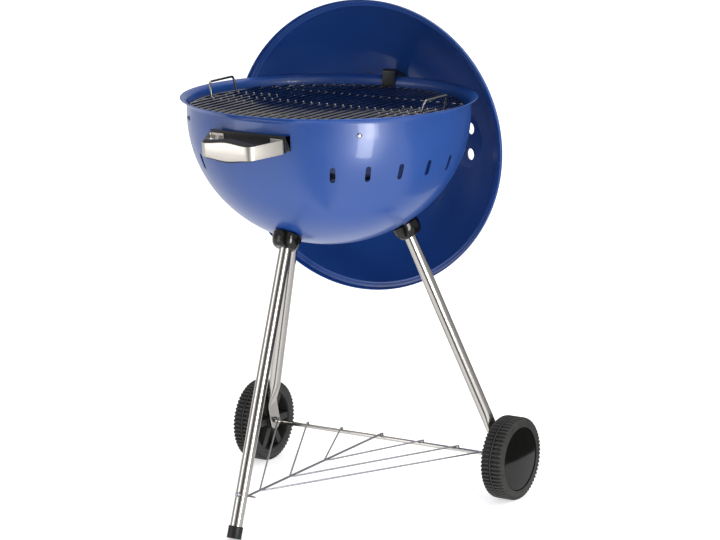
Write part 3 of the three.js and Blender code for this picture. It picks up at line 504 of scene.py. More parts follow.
def black_steel():
    """Black coated steel strip."""
    look = Finish("black_coated_steel", (0.012, 0.012, 0.013), roughness=0.35)
    look.tint(look.pattern(0.01, 3), 0.8, 1.4)
    look.rough(look.pattern(0.003, 3), 0.28, 0.45)
    return look.bump(look.pattern(0.0008, 3), 0.00004, 0.5).material


def black_plastic():
    """Moulded black plastic with a fine leather-like spark grain."""
    look = Finish("black_plastic", (0.010, 0.010, 0.010), roughness=0.42, specular_ior_level=0.3)
    look.tint(look.pattern(0.02, 3), 0.85, 1.25)
    look.rough(look.pattern(0.002, 2), 0.36, 0.5)
    return look.bump(look.pattern(0.0007, 3), 0.00005, 0.5).material


def gloss_black():
    """Glossy black plastic with soft flow waves."""
    look = Finish("gloss_black", (0.005, 0.005, 0.0045), roughness=0.07, specular_ior_level=0.35)
    look.tint(look.pattern(0.03, 2), 0.85, 1.2)
    look.rough(look.pattern(0.01, 3), 0.05, 0.1)
    return look.bump(look.pattern(0.02, 1), 0.00004, 0.2).material


def tyre_plastic():
    """Hard matt black wheel plastic with a random tone, blackened and less shiny between its ribs by painted
    shade.
    """
    look = Finish("wheel_plastic", (0.028, 0.028, 0.026), roughness=0.55)
    look.tint(look.pattern(0.015, 5), 0.75, 1.35)
    look.rough(look.pattern(0.004, 3), 0.5, 0.7)
    # painted shade: ambient occlusion blackens the colour and lowers the shine in the grooves between the
    # ribs
    groove_shade = add(look.tree, "AmbientOcclusion", {"Distance": 0.006}).outputs["AO"]
    unshaded_tone = look.inputs["Base Color"].links[0].from_socket
    look.blend(look.spread(groove_shade, 0, 1), (0.003, 0.003, 0.003, 1), unshaded_tone)
    look.plug(look.spread(groove_shade, 0.05, 0.5), "Specular IOR Level")
    return look.bump(look.pattern(0.001, 3), 0.00006, 0.6).material


FINISHES = {
    "enamel": enamel(),
    "steel": polished_tube(),
    "satin_steel": satin_steel(),
    "zinc": zinc(),
    "chrome_wire": plated_wire(),
    "black_steel": black_steel(),
    "black_plastic": black_plastic(),
    "gloss_black": gloss_black(),
    "tyre_plastic": tyre_plastic(),
}
# pieces that look different from the rest of their slot; the charcoal grate's is painted dark for the shade
# low in the bowl
OWN_FINISHES = {"charcoal_grate": shade_darkened_wire(), "axle": FINISHES["steel"]}
SLOT_OF = {part["node"]: part["material_slot"] for part in frame["record"]["subparts"]}
BODY_OF = {
    node: body
    for body, nodes in frame["record"]["behaviour"]["bodies"].items()
    for node in nodes
}


def show(node, mesh, placed=Matrix.Identity(4)):
    """Shows a mesh in place of a CAD node, on the node's body and in its finish."""
    mesh.transform(Matrix.Translation(HOME) @ Matrix.Scale(MM, 4) @ placed)
    piece = put(node + "_look", mesh)
    mesh.name = piece.name
    mesh.materials.clear()
    mesh.materials.append(OWN_FINISHES.get(node, FINISHES[SLOT_OF[node]]))
    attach(piece, BODY_OF[node])
    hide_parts(node)
    return piece


# ---------- bowl ----------
def around(degrees, radius, z):
    """Point on a circle round the bowl axis; 0 degrees is the front leg and +90 is +X."""
    turn = math.radians(degrees)
    return Vector((radius * math.sin(turn), -radius * math.cos(turn), z))


def bowl_centreline():
    """Middle of the sheet, from the rim edge down to the lowest point."""
    flare = FLARE + SHEET / 2
    inset = 0.4  # the enamel lies this far inside the CAD wall
    line = []
    for i in range(13):
        turn = math.pi / 2 * (1 - i / 12)
        line.append((RIM - inset - flare * math.cos(turn), TOP - FLARE - SHEET + flare * math.sin(turn)))
    for i in range(49):
        turn = math.pi / 2 * i / 48
        radius = (WALL - inset - SHEET / 2) * math.cos(turn)
        line.append((radius if i < 48 else 0, WALL_FOOT - (DEPTH - SHEET / 2) * math.sin(turn)))
    return line


def slot_angles():
    """Directions of the air slots: one group each side of the handle and one at the back."""
    for i in range(SLOTS_PER_GROUP):
        step = i * SLOT_PITCH
        yield SLOT_FIRST + step
        yield -SLOT_FIRST - step
        yield 180 + step - SLOT_PITCH * (SLOTS_PER_GROUP - 1) / 2


def bowl():
    """Enamelled steel bowl with its air slots."""
    guide = lathe(sheet(bowl_centreline(), SHEET), 192)
    stadium = soft_box(SLOT_WIDTH / 2, SLOT_HEIGHT / 2, SLOT_WIDTH / 2 - 0.01, 10)
    cutters = []
    for degrees in slot_angles():
        cutter = prism(stadium, -WALL - 10, -WALL + 60)
        to_front = Matrix.Rotation(math.radians(degrees), 4, "Z") @ Matrix.Rotation(math.radians(-90), 4, "X")
        cutter.transform(Matrix.Translation((0, 0, SLOT_Z)) @ to_front)
        cutters.append(cutter)
    return follow(boolean(guide.copy(), joined(cutters)), guide)


def grate_support(degrees):
    """Bent bracket inside the wall that carries the cooking grate."""
    thick, half_width, drop, reach = 2, 10, 25, 23
    shelf = GRATE_Z - 6 - GAP - thick / 2
    wall = WALL - SHEET - 4.6
    path = [(wall, shelf - drop, 0), (wall, shelf, 0), (wall - reach, shelf, 0)]
    body = prism(sheet(turned(path, 3), thick), -half_width, half_width, 0.4)
    # drawn as (distance from the axis, height, width): turn the height up and face the front
    body.transform(Matrix(((0, 0, 1, 0), (-1, 0, 0, 0), (0, 1, 0, 0), (0, 0, 0, 1))))
    body.transform(Matrix.Rotation(math.radians(degrees), 4, "Z"))
    return smooth(body)


def screw(head, height, shank, length):
    """Pan head screw along +Z with a cross recess; the underside of its head is at z = 0."""
    body = lathe(outline([
        (0, -length, 0), (shank, -length, 0.5), (shank, 0, 0), (head, 0, 0.4),
        (head * 0.97, height * 0.55, height * 0.3), (head * 0.55, height, height * 0.3), (0, height, 0),
    ]), 32)
    arm = head * 0.62
    bars = [prism(soft_box(arm, head * 0.13, 0.1), height * 0.35, height * 2)]
    bars.append(bars[0].copy())
    bars[1].transform(Matrix.Rotation(math.pi / 2, 4, "Z"))
    for bar in bars:
        body = boolean(body, bar)
    return smooth(body)


def hex_nut(across, height, bore):
    """Hexagon nut about +Z with chamfered corners."""
    def hexagon(radius, z):
        points = []
        for i in range(36):
            turn = 2 * math.pi * i / 36
            flat = math.cos(math.pi / 6) / math.cos((turn % (math.pi / 3)) - math.pi / 6)
            reach = min(radius, across * flat)
            points.append((reach * math.cos(turn), reach * math.sin(turn), z))
        return points

    def hole(z):
        return [(x, y, z) for x, y in circle(bore, 36)]

    low = across * 0.87
    rings = [hole(0), hexagon(low, 0), hexagon(across, 0.5), hexagon(across, height - 0.5),
             hexagon(low, height), hole(height)]
    return smooth(skin(rings, loop=True))


# ---------- legs ----------
def leg_seat(degrees):
    """Where a leg bolt goes through the bowl, and the way out of the bowl there."""
    share = LEG_TOP_RADIUS / WALL
    drop = math.sqrt(1 - share ** 2)
    at = around(degrees, LEG_TOP_RADIUS, WALL_FOOT - DEPTH * drop)
    slope = math.atan(DEPTH / WALL * share / drop)
    return at, around(degrees, math.sin(slope), -math.cos(slope))


SEATS = {"front": leg_seat(0), "rear_right": leg_seat(120), "rear_left": leg_seat(240)}
TAB_UP = Vector((0, SEATS["rear_right"][0].y - AXLE_Y, SEATS["rear_right"][0].z - AXLE_Z)).normalized()
FOOT = Vector((0, -FOOT_REACH, 0))


def tab_point(side, lift):
    """Point on the flattened end of a rear leg, lift above the axle along the tab."""
    return Vector((side * TAB_X, AXLE_Y, AXLE_Z)) + TAB_UP * lift


LEG_ENDS = {"front": FOOT, "rear_right": tab_point(1, TAB_BEND), "rear_left": tab_point(-1, TAB_BEND)}
LEG_LINES = {name: (LEG_ENDS[name] - SEATS[name][0]).normalized() for name in SEATS}


def leg_top(name):
    return SEATS[name][0] + LEG_LINES[name] * LEG_START


def front_leg():
    """Straight polished tube from the socket into the foot cap."""
    line = LEG_LINES["front"]
    start, end = leg_top("front"), FOOT - line * 6
    bore = LEG_RADIUS - LEG_WALL
    stations = [(start, LEG_RADIUS - 0.6), (start + line * 0.6, LEG_RADIUS), (end - line * 0.6, LEG_RADIUS),
                (end, LEG_RADIUS - 0.6), (end, bore), (start + line * 6, bore)]
    rings = [ring_on(at, line, circle(radius, 48), Y) for at, radius in stations]
    return smooth(skin(rings))


def flattened(half_thick, half_wide, power, sides=48):
    """Superellipse section: power 2 is a round tube and 5 nearly a flat strip."""
    points = []
    for c, s in circle(1, sides):
        points.append((
            math.copysign(abs(c) ** (2 / power), c) * half_wide,
            math.copysign(abs(s) ** (2 / power), s) * half_thick,
        ))
    return points


def rear_leg(side):
    """Tube whose lower end is squeezed flat, bent upright and bored for the axle."""
    name = "rear_right" if side > 0 else "rear_left"
    line = LEG_LINES[name]
    bend = LEG_ENDS[name]
    along_tab = -TAB_UP
    shapes = [  # distance before the bend, half thickness, half width, section power
        (72, LEG_RADIUS, LEG_RADIUS, 2), (60, LEG_RADIUS, LEG_RADIUS, 2), (50, 11.9, 12.9, 2.1),
        (40, 10.2, 13.8, 2.4), (30, 8.2, 14.8, 2.8), (20, 6.2, 15.7, 3.2), (11, 4.3, 16.2, 3.8),
        (4, 2.9, TAB_WIDTH, 4.6),
    ]
    start = leg_top(name)
    rings = [ring_on(start, line, circle(LEG_RADIUS - 0.6, 48), X)]
    rings.append(ring_on(start + line * 0.6, line, circle(LEG_RADIUS, 48), X))
    for back, thick, wide, power in shapes:
        rings.append(ring_on(bend - line * back, line, flattened(thick, wide, power), X))
    ends = [(TAB_BEND - 4, TAB_WIDTH, 5), (0, TAB_WIDTH, 5), (-5, 15.9, 5), (-9, 13.9, 5), (-12.5, 10.6, 4.5),
            (-15, 6.6, 4), (-16.3, 2.8, 3)]
    for lift, wide, power in ends:
        rings.append(ring_on(tab_point(side, lift), along_tab, flattened(TAB_HALF, wide, power), X))
    body = skin(rings)
    hole = plug(AXLE_RADIUS + GAP, -20, 20, 32)
    return smooth(boolean(body, aimed(hole, tab_point(side, 0), X)), 40)


def leg_socket(name):
    """Glossy cup against the bowl; the leg comes out of its bottom."""
    at, out = SEATS[name]
    rise = SOCKET_RADIUS ** 2 / (2 * DEPTH)
    straight = 8  # height of the wall below the rounding

    def rounding(radius, depth, flat):
        """Quarter ellipse from the straight wall to a flat end with the radius flat."""
        turns = [math.pi / 2 * i / 12 for i in range(13)]
        return [(flat + (radius - flat) * math.cos(turn), straight + (depth - straight) * math.sin(turn))
                for turn in turns]

    outside = rounding(SOCKET_RADIUS, SOCKET_DEPTH, 17)
    inside = rounding(SOCKET_RADIUS - SOCKET_WALL, SOCKET_DEPTH - SOCKET_WALL, 16)
    lip = [(SOCKET_RADIUS - SOCKET_WALL, rise + GAP), (SOCKET_RADIUS - 0.5, rise + GAP),
           (SOCKET_RADIUS, rise + GAP + 0.5)]
    profile = outside + [(0, SOCKET_DEPTH), (0, SOCKET_DEPTH - SOCKET_WALL)] + inside[::-1] + lip
    cup = aimed(lathe(profile, 96), at, out)
    return smooth(boolean(cup, aimed(plug(LEG_RADIUS + GAP, 0, 60), at, LEG_LINES[name])))


def foot_cap():
    """Cap on the lower end of the front leg, worn flat where it stands."""
    line = LEG_LINES["front"]
    bore = LEG_RADIUS + GAP
    outside = bore + 1.8
    tall, sole = 25, 3.2
    cup = lathe(outline([
        (0, 0, 0), (outside, 0, 1.2), (outside, tall, 0.6),
        (bore, tall, 0.3), (bore, sole, 0.5), (0, sole, 0),
    ]), 64)
    cup = aimed(cup, FOOT - line * 2.3, -line)
    ground = prism([(x, y - FOOT_REACH) for x, y in soft_box(40, 40, 1)], -40, 0)
    return smooth(boolean(cup, ground))


# ---------- axle and wheels ----------
def axle():
    """Plain rod with chamfered ends."""
    rod = lathe(outline([
        (0, -AXLE_HALF, 0), (AXLE_RADIUS, -AXLE_HALF, 0.8), (AXLE_RADIUS, AXLE_HALF, 0.8), (0, AXLE_HALF, 0),
    ], 2), 32)
    return smooth(aimed(rod, Vector((0, AXLE_Y, AXLE_Z)), X))


def on_wheel(mesh, side):
    """Moves a mesh drawn about +Z, with z = 0 at the inner face of a wheel, onto that wheel."""
    return aimed(mesh, Vector((side * WHEEL_IN, AXLE_Y, AXLE_Z)), X * side)


def tyre():
    """Ring of the wheel: two rows of tread ribs with a plain ridge between them."""
    width = WHEEL_WIDTH
    seat = CAP_RADIUS + GAP
    tread = WHEEL_RADIUS - RIB_HEIGHT
    half = width / 2
    mirrored = [  # (radius, distance from the middle plane, share of the rib height)
        (tread, 1.8, 0), (tread, 2.6, 1), (tread, half - 6, 1), (tread - 1.2, half - 3, 1),
        (tread - 3.6, half - 0.8, 1), (tread - 6, half, 0),
    ]
    ridge = [(WHEEL_RADIUS - 0.5, 1.1, 0), (WHEEL_RADIUS - 0.1, 0.6, 0)]
    inner = [(seat - 4.5, 7, 0), (seat - 4.5, 3, 0), (seat - 3, 1, 0), (seat + 3, 0.6, 0), (seat + 4, 0, 0)]
    profile = list(inner)
    profile += [(r, half - z, rib) for r, z, rib in mirrored[::-1]]
    profile += [(r, half - z, rib) for r, z, rib in ridge]
    profile += [(r, half + z, rib) for r, z, rib in ridge[::-1] + mirrored]
    profile += [(seat + 4, width, 0), (seat + 0.8, width, 0), (seat, width - 0.8, 0), (seat, width - 7, 0),
                (seat - 4.5, width - 10, 0)]
    steps = 8
    beat = (0, 0.7, 1, 1, 1, 0.3, 0, 0)

    def rib(angle, number):
        phase = round(angle / (2 * math.pi) * RIBS * steps) % steps
        return RIB_HEIGHT * profile[number][2] * beat[phase]

    return lathe([(r, z) for r, z, _ in profile], RIBS * steps, rib)


def wheel(side):
    """Moulded wheel: tread ring, web, hub and six stiffening ribs behind the cap."""
    bore = AXLE_RADIUS + GAP
    web_low, web_high = 26, 29
    hub = lathe(outline([
        (bore, 0, 0.5), (HUB_RADIUS, 0, 1), (HUB_RADIUS, HUB_LENGTH, 1), (bore, HUB_LENGTH, 0.5),
    ]), 48)
    inner, outer = HUB_RADIUS - 1, CAP_RADIUS - 3
    web = lathe([(inner, web_low), (outer, web_low), (outer, web_high), (inner, web_high)], 96)
    body = boolean(boolean(tyre(), web, "UNION"), hub, "UNION")
    spokes = []
    middle = (CAP_RADIUS + HUB_RADIUS) / 2 - 1
    half_long, half_thick = (CAP_RADIUS - HUB_RADIUS) / 2 - 1, 7
    for i in range(6):
        spoke = prism(soft_box(half_long, half_thick, 1), 4, web_low + 1, 0.6)
        spoke.transform(Matrix.Rotation(math.pi / 3 * i, 4, "Z") @ Matrix.Translation((middle, 0, 0)))
        spokes.append(spoke)
    return smooth(on_wheel(boolean(body, joined(spokes), "UNION"), side), 38)


def hub_cap(side):
    """Gently domed glossy cap."""
    width = WHEEL_WIDTH
    edge = CAP_RADIUS - 2
    crown = [(edge * (1 - i / 16), width - 2 * (1 - i / 16) ** 2) for i in range(17)]
    rim = [(CAP_RADIUS - 0.1, width - 6.6), (CAP_RADIUS, width - 6.4), (CAP_RADIUS, width - 3.6),
           (CAP_RADIUS - 0.3, width - 2.9), (CAP_RADIUS - 1, width - 2.35)]
    return smooth(on_wheel(lathe([(0, width - 4.5), (CAP_RADIUS - 4, width - 6.6)] + rim + crown, 144), side))


def push_nut(side):
    """Pressed cap nut that keeps the wheel on the axle."""
    bore, crown, flange, tall = AXLE_RADIUS + 0.5, 6.5, 9, 4
    nut = lathe(outline([
        (bore, 0, 0.2), (flange, 0, 0.4), (flange, 1.5, 0.6), (crown, tall, 0.8), (bore, tall, 0.2),
    ]), 40)
    nut.transform(Matrix.Translation((0, 0, HUB_LENGTH + GAP)))
    return smooth(on_wheel(nut, side))


# ---------- wire rack ----------
def rack_at_leg():
    """Where the spine of the rack goes through the front leg."""
    seat, line = SEATS["front"][0], LEG_LINES["front"]
    return seat + line * ((RACK_FRONT_Z - seat.z) / line.z)


PIN_AXIS = Vector((0, LEG_LINES["front"].z, -LEG_LINES["front"].y))  # forwards, square to the leg


def weld(at, along, radius, length):
    """Small bead of weld metal round a wire."""
    rings = []
    for share in (-1, -0.7, 0, 0.7, 1):
        bulge = radius * math.sqrt(1 - 0.85 * share ** 2)
        rings.append(ring_on(at + along * share * length, along, circle(bulge, 10)))
    return skin(rings)


def wire_rack():
    """Spine from the front leg over the axle with three V wires and a stop bar welded to it."""
    front = rack_at_leg()
    start = front - PIN_AXIS * RACK_PIN
    rear_z = AXLE_Z + AXLE_RADIUS + WIRE + GAP
    spine_z = rear_z + SPINE - WIRE
    past_axle = AXLE_Y + AXLE_RADIUS + 3.5
    hook_drop, stop_half, tip_half, sideways = 9, 18, 6, 1.004

    def share(y):
        return (y - start.y) / (AXLE_Y - start.y)

    def height(y):
        return start.z + share(y) * (spine_z - start.z)

    def hooked(x, z):
        """End of a wire that lies on the axle and bends down behind it."""
        end = x * sideways
        places = ((x, AXLE_Y + 2, z), (end, past_axle, z), (end, past_axle, z - hook_drop))
        return [Vector(place) for place in places]

    wires = [wire([front + PIN_AXIS * RACK_PIN, start, *hooked(RACK_SKEW, spine_z)], SPINE, 2.4)]
    stop = start.y + 2
    wires.append(wire([Vector((x, stop, height(stop))) for x in (-stop_half, stop_half)], WIRE))
    for y, x in zip(RACK_Y, RACK_X):
        low = height(y) - 1
        middle = share(y) * RACK_SKEW
        left, right = hooked(RACK_SKEW - x, rear_z), hooked(RACK_SKEW + x, rear_z)
        tip = [Vector((middle - tip_half, y, low)), Vector((middle + tip_half, y, low))]
        wires.append(wire(left[::-1] + tip + right, WIRE, 2.2))
        wires.append(weld(Vector((middle, y, low)), Y, 2.9, 4))
    return smooth(joined(wires))


def rack_nut():
    """Domed cap nut in front of the leg."""
    base = hex_nut(across=6, height=3.4, bore=SPINE + 0.4)
    radius, rise = 4.7, 4
    turns = [math.pi / 20 * i for i in range(1, 11)]
    crown = [(radius * math.cos(turn), 2.8 + rise * math.sin(turn)) for turn in turns]
    dome = lathe([(0, 2.6), (radius, 2.6)] + crown, 32)
    return smooth(aimed(joined([base, dome]), rack_at_leg() + PIN_AXIS * (LEG_RADIUS + GAP), PIN_AXIS))


# ---------- grates ----------
def hoop(radius, thick, z, sides=144):
    """Round wire ring."""
    return wire([Vector((*point, z)) for point in circle(radius, sides)], thick, loop=True)


def parallel_bars(radius, pitch, side_bars, thick, z):
    """Bars along Y across a ring."""
    for i in range(-side_bars, side_bars + 1):
        x = i * pitch
        half = math.sqrt(radius ** 2 - x ** 2)
        yield x, wire([Vector((x, -half, z)), Vector((x, half, z))], thick, sides=10)


def crossing(y, z, radius, thick):
    """Wire along X across a ring."""
    half = math.sqrt(radius ** 2 - y ** 2)
    return wire([Vector((-half, y, z)), Vector((half, y, z))], thick, sides=10)


def cooking_grate():
    """Ring, bars, cross wires and two lifting handles, spot welded."""
    low = GRATE_Z - 3.4
    parts = [hoop(GRATE_RING, 3, GRATE_Z - 3)]
    for x, bar in parallel_bars(GRATE_RING, GRATE_PITCH, GRATE_SIDE_BARS, GRATE_BAR, GRATE_Z):
        parts.append(bar)
        for y in (-LIFT_HALF, 0, LIFT_HALF) if abs(x) > 140 else (0,):
            parts.append(weld(Vector((x, y, GRATE_Z + 0.2)), Y, 2.9, 3))
    parts += [crossing(y, low, GRATE_RING, GRATE_BAR) for y in (-150, 0, 150)]
    for side in (-1, 1):
        ends = (-LIFT_HALF, LIFT_HALF)
        for y in ends:
            edge = math.sqrt(GRATE_RING ** 2 - y ** 2)
            line = [Vector((side * x, y, low)) for x in (146, edge)]
            parts.append(wire(line, GRATE_BAR, sides=10))
        feet = [Vector((side * LIFT_FOOT, y, low)) for y in ends]
        tops = [Vector((side * LIFT_TOP, y * 0.92, GRATE_Z + LIFT_RISE)) for y in ends]
        parts.append(wire([feet[0], tops[0], tops[1], feet[1]], 2.5, 7, sides=14))
    body = joined(parts)
    turn = Matrix.Rotation(math.radians(GRATE_TURN), 4, "Z")
    body.transform(Matrix.Translation((GRATE_SHIFT, 0, 0)) @ turn)
    return smooth(body)


def charcoal_grate():
    """Heavier, wider spaced bars on a ring low in the bowl."""
    parts = [hoop(COALS_RING, 3.5, COALS_Z)]
    bars = parallel_bars(COALS_RING, COALS_PITCH, COALS_SIDE_BARS, COALS_BAR, COALS_Z + 2)
    parts += [bar for _, bar in bars]
    parts += [crossing(y, COALS_Z - 0.5, COALS_RING, COALS_BAR) for y in (-80, 80)]
    return smooth(joined(parts))


# ---------- handles ----------
# Handle space: X sideways, -Y away from the vessel, front face of the back plate at y = 0.
def belly(x, end, middle):
    """Half height of the handle at x: straight at the ends, swelling between the bends."""
    share = max(0, 1 - abs(x) / 50)
    return end + (middle - end) * share * share * (3 - 2 * share)


def handle_band():
    """Steel strip bent into a bow, its ends turned inwards under the screws."""
    inner = -GAP - BAND / 2
    turned_in = 55  # the feet end here
    corners = [(turned_in, inner), (HANDLE_FOOT, inner), (HANDLE_BEND, -HANDLE_REACH),
               (-HANDLE_BEND, -HANDLE_REACH), (-HANDLE_FOOT, inner), (-turned_in, inner)]
    path = turned([(x, y, 0) for x, y in corners], [0, 4.6, 18, 18, 4.6, 0], 10)
    front = [Vector((x, -HANDLE_REACH, 0)) for x in range(42, -43, -3)]
    middle = len(path) // 2
    path = path[:middle] + front + path[middle:]
    rings = []
    for here, along in headings(path):
        half = belly(here.x if abs(here.y) > 60 else 99, BAND_HALF, BAND_BELLY)
        rings.append(ring_on(here, along, soft_box(BAND / 2, half, 0.6, 3)))
    return smooth(skin(rings))


def handle_grip():
    """Plastic grip behind the front of the strip, a little taller than it."""
    front = -HANDLE_REACH + BAND / 2 + GAP
    half_length, straight, thick = 59.5, 43, 18
    rings = []
    for i in range(49):
        x = half_length * (i / 24 - 1)
        end = max(0, abs(x) - straight) / (half_length - straight)  # 0 on the straight part, 1 at the end
        near = front + 10 * end ** 2
        far = front + thick - 3 * max(0, end - 0.6) ** 2 / 0.16
        half = belly(x, GRIP_HALF, GRIP_BELLY) - 2.5 * max(0, end - 0.8) ** 2 / 0.04
        section = soft_box((far - near) / 2, half, min(1.4, (far - near) * 0.3), 4)
        rings.append([Vector((x, (near + far) / 2 + u, v)) for u, v in section])
    return smooth(skin(rings))


def handle_plate(back_at):
    """Back plate: flat in front, its back fitted to the vessel. back_at(x, z) gives the vessel skin."""
    edge = [(HANDLE_FOOT, 1.4), (HANDLE_FOOT - 0.3, 0.7), (HANDLE_FOOT - 1.2, 0.15)]
    between = [(HANDLE_FOOT - 3 - 5 * i, 0) for i in range(35)]
    low, high = PLATE_DOWN, PLATE_UP
    rings = []
    for x, cut in edge + between + [(-x, cut) for x, cut in edge[::-1]]:
        face = outline([
            (cut, low + cut, 1.2), (cut, high - cut, 1.2), (2.4, high - cut, 0), (2.4, low + cut, 0),
        ], 3)
        ring = [Vector((x, y, z)) for y, z in face if y < 2.3]
        for k in range(9):
            z = low + cut + (high - low - 2 * cut) * k / 8
            ring.append(Vector((x, back_at(x, z) - cut, z)))
        rings.append(ring)
    return smooth(skin(rings))


def show_handle(prefix, placed, back_at, nut_at):
    """All pieces of one handle."""
    show(prefix + "_back_plate", handle_plate(back_at), placed)
    show(prefix + "_grip", handle_grip(), placed)
    show(prefix + "_band", handle_band(), placed)
    for i, x in enumerate(SCREW_XS):
        depth = nut_at(x)
        bolt = screw(head=4.8, height=3, shank=2.4, length=depth + 9)
        show(f"{prefix}_screw_{i + 1}", aimed(bolt, Vector((x, -2 * GAP - BAND, SCREW_DZ)), -Y), placed)
        nut = hex_nut(across=NUT, height=4, bore=2.75)
        show(f"{prefix}_nut_{i + 1}", aimed(nut, Vector((x, depth, SCREW_DZ)), Y), placed)


def behind_bowl_plate(x, z):
    """Skin of the bowl behind its handle, in handle space."""
    across, along = math.sin(HANDLE_TILT), math.cos(HANDLE_TILT)
    y = 0
    for _ in range(4):
        drop = max(0, WALL_FOOT - HANDLE_Z - z * along - y * across) / DEPTH
        radius = WALL * math.sqrt(1 - drop ** 2) + GAP
        y = (HANDLE_FACE - math.sqrt(radius ** 2 - x ** 2) + z * across) / along
    return y


def behind_bowl_nut(x):
    return HANDLE_FACE - math.sqrt((WALL - 5) ** 2 - (abs(x) + NUT) ** 2) + GAP


def behind_lid_plate(x, z):
    """Skin of the dome behind the lid handle, in handle space."""
    radius = DOME_RADIUS + SHEET + GAP
    return LID_HANDLE_FACE + radius - GAP - math.sqrt(radius ** 2 - x ** 2 - z ** 2)


def behind_lid_nut(x):
    return LID_HANDLE_FACE + SHEET + (abs(x) + NUT) ** 2 / (2 * DOME_RADIUS) + 1.6 + GAP


# ---------- lid ----------
# Lid space: Z along the lid axis with 0 at the rim plane and +Z towards the dome, -Y up, X as it hangs.
def dome_depth(radius, grow=0.0):
    return DOME_CENTRE + math.sqrt((DOME_RADIUS + grow) ** 2 - radius ** 2)


LID_TURNED = Matrix.Translation(LID_CENTRE) @ Matrix.Rotation(LID_TURN, 4, "Z")
LID_SPACE = LID_TURNED @ Matrix.Rotation(-math.pi / 2, 4, "X")
VENT_AXIS = Vector((VENT_X, 0, dome_depth(VENT_X) - DOME_CENTRE)).normalized()
VENT_POINT = Vector((VENT_X, 0, dome_depth(VENT_X))) - VENT_AXIS * VENT_FLAT ** 2 / (2 * DOME_RADIUS)


def vent_turns():
    """Directions of the three vent holes round the pivot."""
    for degrees in (60, 180, 300):
        turn = math.radians(degrees)
        yield Vector((math.cos(turn), math.sin(turn), 0)) * VENT_REACH


def on_vent(mesh, lift=0.0):
    """Moves a mesh drawn about +Z onto the vent, lift beyond the inner face of its flat."""
    turn = Matrix.Rotation(math.atan2(VENT_AXIS.x, VENT_AXIS.z), 4, "Y")
    mesh.transform(Matrix.Translation(VENT_POINT + VENT_AXIS * lift) @ turn)
    return mesh


def vent_cutters(height):
    holes = []
    for at in vent_turns():
        hole = plug(VENT_HOLE, -height, height, 40)
        hole.transform(Matrix.Translation(at))
        holes.append(hole)
    return joined(holes)


def lid_centreline():
    """Middle of the sheet from the lip over the skirt and ledge to the top of the dome."""
    rim = [(LID_LIP - 0.7, 0.4), (LID_LIP - 2.2, 3), (LID_LIP - 2.2, 12.4), (LID_BASE + 6.5, 13.4)]
    base = (LID_BASE + SHEET / 2, LID_LEDGE + 0.6)
    skirt = turned([(r, z, 0) for r, z in rim + [base]], [0, 3, 2, 11, 0], 5)
    line = [(point.x, point.y) for point in skirt]
    for i in range(1, 57):
        radius = (LID_BASE + SHEET / 2) * math.cos(math.pi / 2 * i / 56)
        line.append((radius if i < 56 else 0, dome_depth(radius if i < 56 else 0, SHEET / 2)))
    return line


def lid_shell():
    """Enamelled lid with a ledge inside its rim and a pressed flat with three vent holes."""
    shell = lathe(sheet(lid_centreline(), SHEET), 192)
    cut = VENT_FLAT + 3
    shell_rest = boolean(shell, on_vent(plug(cut, -60, 60, 96)))
    edge = DOME_RADIUS - math.sqrt(DOME_RADIUS ** 2 - cut ** 2)
    sink = VENT_FLAT ** 2 / (2 * DOME_RADIUS)
    step = sink - edge  # how far the dome's edge round the hole lies from the flat
    inner = [(cut + 0.15, step), (VENT_FLAT + 1.5, step + 0.1), (VENT_FLAT - 1, 0.1), (VENT_FLAT - 3, 0)]
    outer = [(r, z + SHEET) for r, z in inner]
    plate = on_vent(lathe([(0, 0)] + inner[::-1] + outer + [(0, SHEET)], 96))
    guide = joined([shell_rest, plate])
    body = boolean(shell_rest.copy(), plate, "UNION")
    body = boolean(body, on_vent(vent_cutters(20)))
    return follow(body, guide)


def lid_damper():
    """Turning disc on the outside of the vent with three holes and a bent finger tab."""
    radius, half_thick, tab_rise, tab_half = 50, 0.6, 21, 8
    edge = radius - 2
    disc = lathe(outline([
        (0, -half_thick, 0), (radius, -half_thick, 0.3), (radius, half_thick, 0.3), (0, half_thick, 0),
    ], 3), 96)
    path = turned([(30, 0, 0), (edge, 0, 0), (edge, tab_rise, 0)], 3, 6)
    tab = prism(sheet(path, 1.6), -tab_half, tab_half, 0.4)
    tab.transform(Matrix(((0, 0, 1, 0), (1, 0, 0, 0), (0, 1, 0, 0), (0, 0, 0, 1))))
    body = boolean(disc, tab, "UNION")
    for hole in (vent_cutters(10), plug(3.35, -10, 10, 24)):
        body = boolean(body, hole)
    return smooth(on_vent(body, SHEET + GAP + half_thick))


def damper_pivot():
    """Hollow rivet through the vent and the damper."""
    above = SHEET + 1.2 + 2 * GAP
    rivet = lathe(outline([
        (0, -2.6, 0), (4, -3.4, 1), (7, -GAP, 0.6), (3, -GAP, 0), (3, above, 0), (7.5, above, 0.4),
        (5.5, above + 3, 1), (0, above + 2.4, 0),
    ], 4), 40)
    return smooth(on_vent(rivet))


def hook_seat(height):
    """Place of a hook rivet on the inner face of the dome, and the way out of the lid there."""
    at = Vector((0, -height, dome_depth(height)))
    return at, (at - Vector((0, 0, DOME_CENTRE))).normalized()


def lid_hook():
    """Bent strip: foot on the inside of the dome, arm over the bowl rim, tongue inside the bowl."""
    rim = TOP - LID_CENTRE.z
    out = math.hypot(LID_CENTRE.x, LID_CENTRE.y)
    tongue = WALL - SHEET - 2.8 - out
    hang, arch, drop = 23, 14, 12  # below the bowl rim, over it, and from the arm's top to the dome

    def inside(height):
        return (dome_depth(height) - 2 - HOOK_THICK / 2, height)

    corners = [(tongue, rim - hang), (tongue, rim + arch), (tongue + 12, rim + arch),
               (tongue + 24, HOOK_TOP), (inside(HOOK_TOP - 8)[0], HOOK_TOP - drop), inside(92)]
    path = turned([(depth, height, 0) for depth, height in corners], [0, 4, 4, 4, 4, 0], 6)
    section = soft_box(HOOK_THICK / 2, HOOK_WIDTH / 2, 0.5, 3)
    rings = []
    for here, along in headings(path):
        rings.append(ring_on(Vector((0, -here.y, here.x)), Vector((0, -along.y, along.x)), section, X))
    return smooth(skin(rings))


